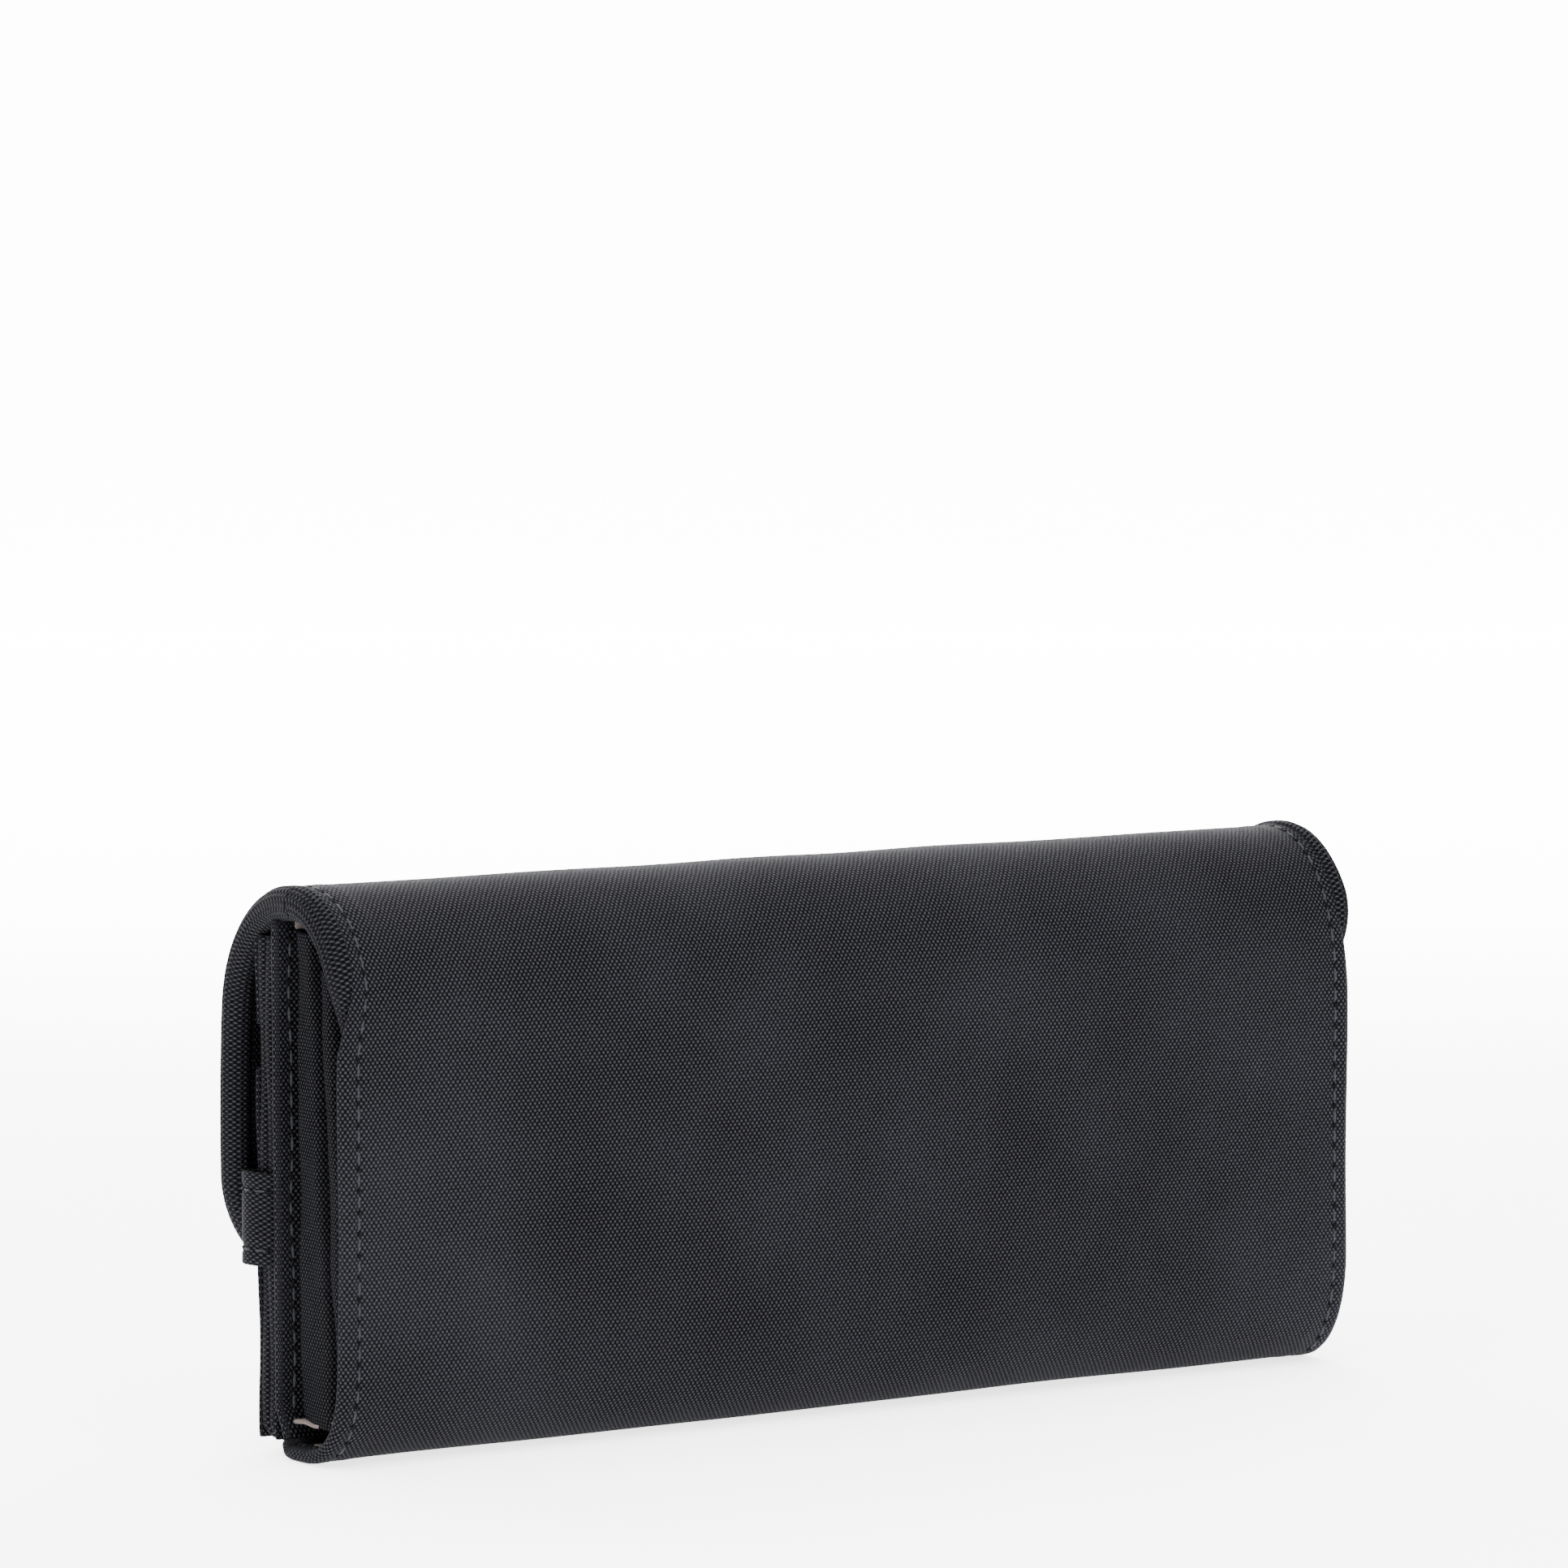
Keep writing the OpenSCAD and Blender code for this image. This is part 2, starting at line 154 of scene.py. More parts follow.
@dataclass(frozen=True)
class WalletSizes:
    """The sizes that the pieces share, read from the frame."""

    half_w: float
    height: float
    back_y: float
    base_y: float
    front_y: float
    flap_y: float
    flap_low_z: float

    @classmethod
    def read(cls) -> "WalletSizes":
        """Reads the shared sizes from the boxes of the CAD nodes.

        Returns:
            The sizes in millimetres.
        """
        back = Box.of("outer_back_panel")
        spine = Box.of("spine_outer")
        flap = Box.of("flap_outer")
        band = Box.of("flap_edge_band")
        return cls(
            half_w=back.hi.x,
            height=spine.hi.z,
            back_y=back.hi.y,
            base_y=back.lo.y,
            front_y=Box.of("front_panel").lo.y,
            flap_y=flap.lo.y,
            flap_low_z=band.lo.z,
        )


# ------------------------------------------------------------ mesh making


def write_mesh(name: str, points: Array, faces: Sequence[Sequence[int]],
               uv: Array | None = None) -> bpy.types.Object:
    """Writes points and faces as a smooth object at the origin.

    Args:
        name: name of the object.
        points: (n, 3) points in millimetres.
        faces: vertex numbers of each face.
        uv: (n, 2) cloth coordinates in millimetres, one for each point.

    Returns:
        The object, linked to the scene.
    """
    mesh = bpy.data.meshes.new(name)
    mesh.from_pydata((np.asarray(points, float) * MM).tolist(), [], [list(map(int, f)) for f in faces])
    mesh.polygons.foreach_set("use_smooth", [True] * len(mesh.polygons))
    if uv is not None:
        layer = mesh.uv_layers.new(name="Cloth")
        corner = np.empty(len(mesh.loops), np.int32)
        mesh.loops.foreach_get("vertex_index", corner)
        layer.data.foreach_set("uv", np.asarray(uv, np.float32)[corner].ravel())
    mesh.validate()
    obj = bpy.data.objects.new(name, mesh)
    bpy.context.scene.collection.objects.link(obj)
    return obj


def face_outwards(obj: bpy.types.Object) -> None:
    """Turns a closed mesh's faces outwards.

    Args:
        obj: the mesh object, closed and with its doubles merged.
    """
    bm = bmesh.new()
    bm.from_mesh(obj.data)
    bmesh.ops.recalc_face_normals(bm, faces=bm.faces)
    bm.to_mesh(obj.data)
    bm.free()


def unit(v: Array) -> Array:
    """Vectors scaled to length 1."""
    return v / np.maximum(np.linalg.norm(v, axis=-1, keepdims=True), 1e-12)


def surface_normals(grid: Array) -> Array:
    """Normals of a grid of points.

    Args:
        grid: (rows, columns, 3) points.

    Returns:
        Unit normals, along the cross product of the row and the column direction.
    """
    return unit(np.cross(np.gradient(grid, axis=1), np.gradient(grid, axis=0)))


class ClothSheet:
    """A sheet of cloth with thickness and a rounded rim, made from a grid of points on its face."""

    RIM_STEPS = 4

    def __init__(self, name: str, grid: Array, uv: Array, thickness: float | Array, flip: bool = False) -> None:
        """Makes the closed mesh.

        Args:
            name: name of the object.
            grid: (rows, columns, 3) points of the face, in millimetres.
            uv: (rows, columns, 2) cloth coordinates in millimetres.
            thickness: thickness in millimetres, one or one for each point.
            flip: whether the face's normal is the other way round.
        """
        rows, cols = grid.shape[:2]
        normal = surface_normals(grid) * (-1 if flip else 1)
        depth = np.broadcast_to(np.asarray(thickness, float), (rows, cols))[..., None]
        inner = grid - normal * depth
        ring = [(0, j) for j in range(cols)] + [(i, cols - 1) for i in range(1, rows)]
        ring += [(rows - 1, j) for j in range(cols - 2, -1, -1)] + [(i, 0) for i in range(rows - 2, 0, -1)]
        ri, rj = np.array(ring).T
        along_u, along_v = unit(np.gradient(grid, axis=1)), unit(np.gradient(grid, axis=0))
        out = np.zeros((len(ring), 3))
        out_uv = np.zeros((len(ring), 2))
        for mask, vector, shift in ((ri == 0, -along_v, (0, -1)), (ri == rows - 1, along_v, (0, 1)),
                                    (rj == 0, -along_u, (-1, 0)), (rj == cols - 1, along_u, (1, 0))):
            out[mask] += vector[ri, rj][mask]
            out_uv[mask] += shift
        out = unit(out)
        half = depth[ri, rj] / 2
        centre = grid[ri, rj] - normal[ri, rj] * half
        points = [grid.reshape(-1, 3), inner.reshape(-1, 3)]
        coords = [uv.reshape(-1, 2), uv.reshape(-1, 2)]
        for k in range(1, self.RIM_STEPS):
            a = math.pi * k / self.RIM_STEPS
            points.append(centre + normal[ri, rj] * half * math.cos(a) + out * half * math.sin(a))
            coords.append(uv[ri, rj] + out_uv * half * a)
        face_id = np.arange(rows * cols).reshape(rows, cols)
        quads = np.stack([face_id[:-1, :-1], face_id[:-1, 1:], face_id[1:, 1:], face_id[1:, :-1]], -1)
        quads = quads.reshape(-1, 4)
        faces = [quads, quads[:, ::-1] + rows * cols]
        m = len(ring)
        loops = [ri * cols + rj]
        loops += [2 * rows * cols + k * m + np.arange(m) for k in range(self.RIM_STEPS - 1)]
        loops += [rows * cols + ri * cols + rj]
        for a, b in zip(loops[:-1], loops[1:]):
            faces.append(np.stack([a, b, np.roll(b, -1), np.roll(a, -1)], -1))
        self.obj = write_mesh(name, np.concatenate(points), np.concatenate(faces), np.concatenate(coords))
        face_outwards(self.obj)


class Tube:
    """A closed tube whose section changes along a path."""

    def __init__(self, name: str, centres: Array, across: Array, up: Array, half_across: Array, half_up: Array,
                 sides: int = 28, power: float = 2.0, ribs: int = 0, rib_height: float = 0.0) -> None:
        """Makes the mesh.

        Args:
            name: name of the object.
            centres: (n, 3) points of the path, in millimetres.
            across: (n, 3) unit vectors of the section's first axis.
            up: (n, 3) unit vectors of the section's second axis.
            half_across: (n,) half sizes along the first axis.
            half_up: (n,) half sizes along the second axis.
            sides: number of points round the section.
            power: 2 for an ellipse, more for a squarer section.
            ribs: number of ribs round the section.
            rib_height: their height, as a share of the section's size.
        """
        n = len(centres)
        a = np.arange(sides) / sides * TAU
        ca = np.sign(np.cos(a)) * np.abs(np.cos(a)) ** (2 / power)
        sa = np.sign(np.sin(a)) * np.abs(np.sin(a)) ** (2 / power)
        if ribs:
            rib = 1 + rib_height * (np.abs(np.cos(a * ribs / 2)) * 2 - 1)
            ca, sa = ca * rib, sa * rib
        step = np.linalg.norm(np.diff(centres, axis=0), axis=1)
        run = np.concatenate([[0], np.cumsum(step)])
        rings = (centres[:, None] + across[:, None] * (ca[None, :] * half_across[:, None])[..., None]
                 + up[:, None] * (sa[None, :] * half_up[:, None])[..., None])
        girth = float(np.mean(half_across + half_up)) * math.pi
        uv = np.stack([np.broadcast_to(a / TAU * girth, (n, sides)),
                       np.broadcast_to(run[:, None], (n, sides))], -1)
        points = [rings.reshape(-1, 3), centres[:1], centres[-1:]]
        coords = [uv.reshape(-1, 2), uv[0].mean(0, keepdims=True), uv[-1].mean(0, keepdims=True)]
        idx = np.arange(n * sides).reshape(n, sides)
        nxt = np.roll(idx, -1, axis=1)
        faces = np.stack([idx[:-1], nxt[:-1], nxt[1:], idx[1:]], -1).reshape(-1, 4).tolist()
        faces += [[n * sides, nxt[0, k], idx[0, k]] for k in range(sides)]
        faces += [[n * sides + 1, idx[-1, k], nxt[-1, k]] for k in range(sides)]
        self.obj = write_mesh(name, np.concatenate(points), faces, np.concatenate(coords))
        face_outwards(self.obj)


# ------------------------------------------------------------ the outline


class Outline:
    """A smooth line in the Y-Z plane, followed by its length."""

    def __init__(self, points: Sequence[tuple[float, float]]) -> None:
        """Measures the line.

        Args:
            points: (y, z) points in millimetres, close together.
        """
        p = np.array(points, float)
        keep = np.concatenate([[True], np.linalg.norm(np.diff(p, axis=0), axis=1) > 1e-6])
        self.points = p[keep]
        self.run = np.concatenate([[0], np.cumsum(np.linalg.norm(np.diff(self.points, axis=0), axis=1))])

    @property
    def length(self) -> float:
        """The line's whole length."""
        return float(self.run[-1])

    def at(self, s: Array) -> Array:
        """Points at distances s along the line, as (n, 2) of y and z."""
        return np.stack([np.interp(s, self.run, self.points[:, k]) for k in (0, 1)], -1)

    def normal(self, s: Array) -> Array:
        """Unit normals, to the right of the way the line runs.

        Args:
            s: distances along the line.

        Returns:
            (n, 2) normals in y and z.
        """
        reach = 0.6
        ahead, behind = np.clip(s + reach, 0, self.length), np.clip(s - reach, 0, self.length)
        t = unit(self.at(ahead) - self.at(behind))
        return np.stack([t[:, 1], -t[:, 0]], -1)

    def nearest(self, y: float, z: float) -> float:
        """Distance along the line of its point nearest to (y, z)."""
        s = np.linspace(0, self.length, 4000)
        return float(s[np.argmin(np.linalg.norm(self.at(s) - np.array([y, z]), axis=1))])


def ellipse(cy: float, cz: float, ry: float, rz: float, a0: float, a1: float,
            steps: int = 40) -> list[tuple[float, float]]:
    """Points on part of an ellipse in the Y-Z plane.

    Args:
        cy: centre, in Y.
        cz: centre, in Z.
        ry: half size in Y.
        rz: half size in Z.
        a0: first angle in degrees.
        a1: last angle in degrees.
        steps: number of steps.

    Returns:
        Points (y, z) in millimetres.
    """
    return [(cy + ry * math.cos(math.radians(a)), cz + rz * math.sin(math.radians(a)))
            for a in np.linspace(a0, a1, steps + 1)]


@dataclass(frozen=True)
class ShellShape:
    """The line that the shell's outer face follows, from the base's front corner to the flap's edge."""

    sizes: WalletSizes
    corner_r: float = 3.0
    base_fold: tuple[float, float] = (15.0, 22.0)
    rear_fold: tuple[float, float] = (18.5, 23.0)
    front_fold: tuple[float, float] = (20.0, 23.0)
    base_power: float = 2.5
    bow_r: float = 320.0
    bow_z: float = 55.0

    @property
    def corner(self) -> tuple[float, float]:
        """Centre of the front corner, which is the hinge line of the front section."""
        return self.sizes.front_y + self.corner_r, self.corner_r

    @property
    def seam_y(self) -> float:
        """Where the two halves of the shell meet on top."""
        return self.sizes.back_y - self.rear_fold[0] - 0.5

    def outline(self) -> Outline:
        """The whole line."""
        w = self.sizes
        line = ellipse(*self.corner, self.corner_r, self.corner_r, -150, -90, 12)
        for y, z in ellipse(0, 0, 1, 1, -90, 0):
            line.append((w.back_y - self.base_fold[0] + self.base_fold[0] * y ** (2 / self.base_power),
                         self.base_fold[1] - self.base_fold[1] * abs(z) ** (2 / self.base_power)))
        top_z = w.height - self.rear_fold[1]
        line += [(w.back_y, z) for z in np.linspace(self.base_fold[1], top_z, 20)]
        line += ellipse(w.back_y - self.rear_fold[0], top_z, *self.rear_fold, 0, 90)
        rise = math.asin((w.height - self.front_fold[1] - self.bow_z)
                         / (self.bow_r - self.front_fold[1] ** 2 / self.front_fold[0]))
        end = math.atan(math.tan(rise) * self.front_fold[1] / self.front_fold[0])
        bow_y = w.flap_y + self.bow_r
        fold_y = bow_y - self.bow_r * math.cos(rise) + self.front_fold[0] * math.cos(end)
        line += ellipse(fold_y, top_z, *self.front_fold, 90, 179 - math.degrees(end))
        low = math.asin((self.bow_z - w.flap_low_z) / self.bow_r)
        line += ellipse(bow_y, self.bow_z, self.bow_r, self.bow_r, 180 - math.degrees(rise),
                        180 + math.degrees(low))
        return Outline(line)


@dataclass(frozen=True)
class Topstitch:
    """Sizes of a line of stitches."""

    inset: float = 2.2
    pitch: float = 3.7
    pucker: float = 0.3
    width: float = 0.75

    def groove(self, across: Array, along: Array) -> Array:
        """How deep the thread pulls the cloth in.

        Args:
            across: distance from the line, in millimetres.
            along: distance along the line, in millimetres.

        Returns:
            Depths in millimetres.
        """
        pull = 0.55 + 0.45 * np.cos(TAU * along / self.pitch)
        return self.pucker * np.exp(-(across / self.width) ** 2) * pull


def undulation(x: Array, s: Array, height: float = 0.3, phase: float = 0.0) -> Array:
    """Slow hills of a soft panel: a fixed sum of waves.

    Args:
        x: distance along the wallet, in millimetres.
        s: distance along the other way of the cloth, in millimetres.
        height: size of the hills, in millimetres.
        phase: shifts the waves, so that panels differ.

    Returns:
        Heights in millimetres.
    """
    waves = (np.sin(x / 31 + s / 47 + phase) + 0.7 * np.sin(x / 17 - s / 23 + 2 * phase + 1)
             + 0.5 * np.sin(x / 11 + s / 13 + 3 * phase + 2) + 0.35 * np.sin(x / 7.3 - s / 9.1 + phase))
    return height * waves / 2.5


def graded(half: float, fine_w: float = 9.0, fine: float = 0.45, coarse: float = 1.9) -> Array:
    """Positions from -half to half, close together near the ends.

    Args:
        half: half the width in millimetres.
        fine_w: width of the fine zone at each end.
        fine: spacing in the fine zone.
        coarse: spacing between the fine zones.

    Returns:
        Positions in millimetres.
    """
    inner = half - fine_w
    left = np.linspace(-half, -inner, int(fine_w / fine) + 1)
    middle = np.linspace(-inner, inner, int(2 * inner / coarse) + 1)
    return np.concatenate([left[:-1], middle, -left[::-1][1:]])


# ------------------------------------------------------------ shader groups


class ShaderGroup:
    """A shader node group, built once and placed in many materials."""

    def __init__(self, name: str, inputs: Sequence[tuple[str, str, float | tuple]],
                 outputs: Sequence[tuple[str, str]]) -> None:
        """Opens the group.

        Args:
            name: name of the group.
            inputs: (name, socket type, default) of each input.
            outputs: (name, socket type) of each output.
        """
        self.tree = bpy.data.node_groups.new(name, "ShaderNodeTree")
        for label, kind, default in inputs:
            socket = self.tree.interface.new_socket(name=label, in_out="INPUT", socket_type=kind)
            if kind == "NodeSocketFloat":
                socket.default_value = default
        for label, kind in outputs:
            self.tree.interface.new_socket(name=label, in_out="OUTPUT", socket_type=kind)
        self.enter = self.tree.nodes.new("NodeGroupInput")
        self.leave = self.tree.nodes.new("NodeGroupOutput")

    def math(self, op: str, a: object, b: object = None, c: object = None) -> bpy.types.NodeSocket:
        """A Math node on values or sockets.

        Args:
            op: the operation.
            a: first value or socket.
            b: second value or socket.
            c: third value or socket.

        Returns:
            The node's output.
        """
        node = self.tree.nodes.new("ShaderNodeMath")
        node.operation = op
        for k, v in enumerate((a, b, c)):
            if v is None:
                continue
            if isinstance(v, (int, float)):
                node.inputs[k].default_value = v
            else:
                self.tree.links.new(v, node.inputs[k])
        return node.outputs[0]

    def link(self, a: bpy.types.NodeSocket, b: bpy.types.NodeSocket) -> None:
        """Joins two sockets."""
        self.tree.links.new(a, b)


def plain_weave_group() -> bpy.types.NodeTree:
    """Plain weave: round yarn crossings on a staggered lattice, with uneven yarns, and a mask of painted light:
    high on the lit yarn tops, low in the shaded valleys.

    Returns:
        A group with a Height output and a painted-light mask output, both about 0 to 1.
    """
    g = ShaderGroup("PlainWeave", [("Cloth", "NodeSocketVector", ()), ("Across mm", "NodeSocketFloat", 0.914),
                                   ("Along mm", "NodeSocketFloat", 1.2), ("Unevenness", "NodeSocketFloat", 0.35)],
                    [("Height", "NodeSocketFloat"), ("Shade", "NodeSocketFloat")])
    nodes = g.tree.nodes
    split = nodes.new("ShaderNodeSeparateXYZ")
    drift = nodes.new("ShaderNodeTexNoise")
    drift.inputs["Scale"].default_value = 0.35
    drift.inputs["Detail"].default_value = 2.0
    g.link(g.enter.outputs["Cloth"], drift.inputs["Vector"])
    g.link(g.enter.outputs["Cloth"], split.inputs[0])
    bend = g.math("MULTIPLY", g.math("SUBTRACT", drift.outputs["Fac"], 0.5), g.enter.outputs["Unevenness"])
    u = g.math("ADD", split.outputs["X"], bend)
    v = g.math("ADD", split.outputs["Y"], bend)
    cu = g.math("COSINE", g.math("DIVIDE", g.math("MULTIPLY", u, TAU), g.enter.outputs["Across mm"]))
    cv = g.math("COSINE", g.math("DIVIDE", g.math("MULTIPLY", v, TAU), g.enter.outputs["Along mm"]))
    cross = g.math("MULTIPLY", cu, cv)
    ridge = g.math("MULTIPLY_ADD", g.math("COSINE", g.math(
        "DIVIDE", g.math("MULTIPLY", v, 2 * TAU), g.enter.outputs["Along mm"])), 0.22, 0.0)
    height = g.math("MULTIPLY_ADD", g.math("ADD", cross, ridge), 0.42, 0.5)
    grain = nodes.new("ShaderNodeTexNoise")
    grain.inputs["Scale"].default_value = 1.7
    grain.inputs["Detail"].default_value = 3.0
    g.link(g.enter.outputs["Cloth"], grain.inputs["Vector"])
    # Painted light: the crossings' tops are made lighter and the valleys darker, a painted highlight and painted
    # shade of the weave.
    top = g.math("POWER", g.math("MAXIMUM", height, 0.0), 2.3)
    lit_tops = g.math("ADD", top, g.math("MULTIPLY", g.math("SUBTRACT", grain.outputs["Fac"], 0.5),
                                      g.enter.outputs["Unevenness"]))
    g.link(height, g.leave.inputs["Height"])
    g.link(lit_tops, g.leave.inputs["Shade"])
    return g.tree


def wear_group() -> bpy.types.NodeTree:
    """Slow tone changes of handled cloth.

    Returns:
        A group with one Tone output, about 0 to 1.
    """
    g = ShaderGroup("ClothTone", [("Point", "NodeSocketVector", ()), ("Patch per m", "NodeSocketFloat", 22.0)],
                    [("Tone", "NodeSocketFloat")])
    patch = g.tree.nodes.new("ShaderNodeTexNoise")
    patch.inputs["Detail"].default_value = 4.0
    patch.inputs["Roughness"].default_value = 0.6
    g.link(g.enter.outputs["Point"], patch.inputs["Vector"])
    g.link(g.enter.outputs["Patch per m"], patch.inputs["Scale"])
    g.link(patch.outputs["Fac"], g.leave.inputs["Tone"])
    return g.tree


class Finishes:
    """Keeps the shader groups, and the materials that have been made."""

    def __init__(self) -> None:
        """Builds the shared groups."""
        self.weave = plain_weave_group()
        self.tone = wear_group()
        self.made: dict[str, bpy.types.Material] = {}

    def get(self, finish: "ClothFinish | MetalFinish | ThreadFinish") -> bpy.types.Material:
        """The material of a finish, made at its first use.

        Args:
            finish: the finish.

        Returns:
            Its material.
        """
        if finish.name not in self.made:
            self.made[finish.name] = finish.build(self)
        return self.made[finish.name]


def new_material(name: str) -> tuple[bpy.types.Material, bpy.types.NodeTree, bpy.types.Node]:
    """An empty node material.

    Args:
        name: its name.

    Returns:
        The material, its tree and its Principled BSDF.
    """
    material = bpy.data.materials.new(name)
    material.use_nodes = True
    return material, material.node_tree, material.node_tree.nodes["Principled BSDF"]


@dataclass(frozen=True)
class ClothFinish:
    """A woven cloth, with a painted highlight on its yarn tops and painted shade in its valleys."""

    name: str
    # dark is the painted shade in the weave's valleys, light the painted highlight on its yarn tops.
    dark: tuple[float, float, float]
    light: tuple[float, float, float]
    across_mm: float = 0.914
    along_mm: float = 1.2
    bump: float = 0.85
    depth_mm: float = 0.16
    unevenness: float = 0.35
    rough: float = 0.78
    sheen: float = 0.003
    sheen_tint: tuple[float, float, float] = (0.6, 0.66, 0.78)
    specular: float = 0.025

    def build(self, kit: Finishes) -> bpy.types.Material:
        """Makes the material.

        Args:
            kit: the shared groups.

        Returns:
            The material.
        """
        material, tree, shader = new_material(self.name)
        nodes, link = tree.nodes, tree.links.new
        place = nodes.new("ShaderNodeTexCoord")
        cloth = nodes.new("ShaderNodeUVMap")
        cloth.uv_map = "Cloth"
        weave = nodes.new("ShaderNodeGroup")
        weave.node_tree = kit.weave
        weave.inputs["Across mm"].default_value = self.across_mm
        weave.inputs["Along mm"].default_value = self.along_mm
        weave.inputs["Unevenness"].default_value = self.unevenness
        link(cloth.outputs["UV"], weave.inputs["Cloth"])
        tone = nodes.new("ShaderNodeGroup")
        tone.node_tree = kit.tone
        link(place.outputs["Object"], tone.inputs["Point"])
        # Painted light: the mask blends from the dark colour, painted shade in the valleys, to the light colour, a
        # painted highlight on the yarn tops; random tone patches shift the blend.
        mix = nodes.new("ShaderNodeMix")
        mix.data_type = "RGBA"
        mix.inputs["A"].default_value = (*self.dark, 1)
        mix.inputs["B"].default_value = (*self.light, 1)
        blend = nodes.new("ShaderNodeMath")
        blend.operation = "MULTIPLY_ADD"
        blend.use_clamp = True
        spread = nodes.new("ShaderNodeMath")
        spread.operation = "MULTIPLY_ADD"
        spread.inputs[1].default_value = 0.3
        spread.inputs[2].default_value = -0.16
        link(tone.outputs["Tone"], spread.inputs[0])
        link(weave.outputs["Shade"], blend.inputs[0])
        blend.inputs[1].default_value = 1.0
        link(spread.outputs[0], blend.inputs[2])
        link(blend.outputs[0], mix.inputs["Factor"])
        link(mix.outputs["Result"], shader.inputs["Base Color"])
        bump = nodes.new("ShaderNodeBump")
        bump.inputs["Strength"].default_value = self.bump
        bump.inputs["Distance"].default_value = self.depth_mm * MM
        link(weave.outputs["Height"], bump.inputs["Height"])
        link(bump.outputs["Normal"], shader.inputs["Normal"])
        shader.inputs["Roughness"].default_value = self.rough
        shader.inputs["Sheen Weight"].default_value = self.sheen
        shader.inputs["Sheen Roughness"].default_value = 0.45
        shader.inputs["Sheen Tint"].default_value = (*self.sheen_tint, 1)
        shader.inputs["Specular IOR Level"].default_value = self.specular
        return material


@dataclass(frozen=True)
class ThreadFinish:
    """Twisted sewing thread, or the painted shadow in a needle hole."""

    name: str
    colour: tuple[float, float, float]
    rough: float = 0.5
    specular: float = 0.1

    def build(self, kit: Finishes) -> bpy.types.Material:
        """Makes the material.

        Args:
            kit: the shared groups, not used.

        Returns:
            The material.
        """
        material, tree, shader = new_material(self.name)
        place = tree.nodes.new("ShaderNodeTexCoord")
        ply = tree.nodes.new("ShaderNodeTexWave")
        ply.bands_direction = "DIAGONAL"
        ply.inputs["Scale"].default_value = 900.0
        ply.inputs["Distortion"].default_value = 1.5
        tree.links.new(place.outputs["Object"], ply.inputs["Vector"])
        ramp = tree.nodes.new("ShaderNodeMix")
        ramp.data_type = "RGBA"
        ramp.inputs["A"].default_value = (*[c * 0.6 for c in self.colour], 1)
        ramp.inputs["B"].default_value = (*self.colour, 1)
        tree.links.new(ply.outputs["Fac"], ramp.inputs["Factor"])
        tree.links.new(ramp.outputs["Result"], shader.inputs["Base Color"])
        shader.inputs["Roughness"].default_value = self.rough
        shader.inputs["Specular IOR Level"].default_value = self.specular
        return material


@dataclass(frozen=True)
class MetalFinish:
    """Plated metal with fine scratches and patches of tone."""

    name: str
    colour: tuple[float, float, float]
    rough: float = 0.3
    metallic: float = 1.0

    def build(self, kit: Finishes) -> bpy.types.Material:
        """Makes the material.

        Args:
            kit: the shared groups.

        Returns:
            The material.
        """
        material, tree, shader = new_material(self.name)
        place = tree.nodes.new("ShaderNodeTexCoord")
        grain = tree.nodes.new("ShaderNodeTexNoise")
        grain.inputs["Scale"].default_value = 900.0
        grain.inputs["Detail"].default_value = 5.0
        tree.links.new(place.outputs["Object"], grain.inputs["Vector"])
        rough = tree.nodes.new("ShaderNodeMapRange")
        rough.inputs["To Min"].default_value = self.rough - 0.08
        rough.inputs["To Max"].default_value = self.rough + 0.14
        tree.links.new(grain.outputs["Fac"], rough.inputs["Value"])
        tree.links.new(rough.outputs["Result"], shader.inputs["Roughness"])
        tone = tree.nodes.new("ShaderNodeGroup")
        tone.node_tree = kit.tone
        tone.inputs["Patch per m"].default_value = 160.0
        tree.links.new(place.outputs["Object"], tone.inputs["Point"])
        mix = tree.nodes.new("ShaderNodeMix")
        mix.data_type = "RGBA"
        mix.inputs["A"].default_value = (*[c * 0.75 for c in self.colour], 1)
        mix.inputs["B"].default_value = (*[min(1, c * 1.2) for c in self.colour], 1)
        tree.links.new(tone.outputs["Tone"], mix.inputs["Factor"])
        tree.links.new(mix.outputs["Result"], shader.inputs["Base Color"])
        bump = tree.nodes.new("ShaderNodeBump")
        bump.inputs["Strength"].default_value = 0.1
        bump.inputs["Distance"].default_value = 0.05 * MM
        tree.links.new(grain.outputs["Fac"], bump.inputs["Height"])
        tree.links.new(bump.outputs["Normal"], shader.inputs["Normal"])
        shader.inputs["Metallic"].default_value = self.metallic
        return material


NYLON = ClothFinish("Charcoal nylon", (0.0003, 0.0003, 0.0004), (0.031, 0.0315, 0.0375))
NYLON_EDGE = ClothFinish("Charcoal nylon on the edge", (0.0003, 0.0003, 0.0004), (0.026, 0.0265, 0.0315),
                         across_mm=1.5, along_mm=0.914, bump=0.5)
# Painted shade: a darker copy of the charcoal nylon, without specular, for the gussets and the divider's binding,
# which sit in the shade of the body.
SHADE_DARKENED_NYLON = ClothFinish("Gusset nylon", (0.0003, 0.0003, 0.0004), (0.024, 0.0244, 0.0272), specular=0.0)
FACING = ClothFinish("Flap facing nylon", (0.0003, 0.0003, 0.0004), (0.02, 0.0205, 0.023))
LINING = ClothFinish("Warm grey lining", (0.075, 0.062, 0.057), (0.15, 0.128, 0.12), across_mm=0.6,
                     along_mm=0.6, bump=0.3, sheen_tint=(1, 0.95, 0.9))
FOAM = ClothFinish("Foam interlining", (0.02, 0.02, 0.021), (0.035, 0.035, 0.036), across_mm=2, along_mm=2)
ZIP_TAPE = ClothFinish("Zip tape weave", (0.004, 0.004, 0.005), (0.014, 0.0145, 0.016), across_mm=1.1,
                       along_mm=0.5)
COIL = ThreadFinish("Zip teeth nylon", (0.012, 0.012, 0.014), 0.4, 0.35)
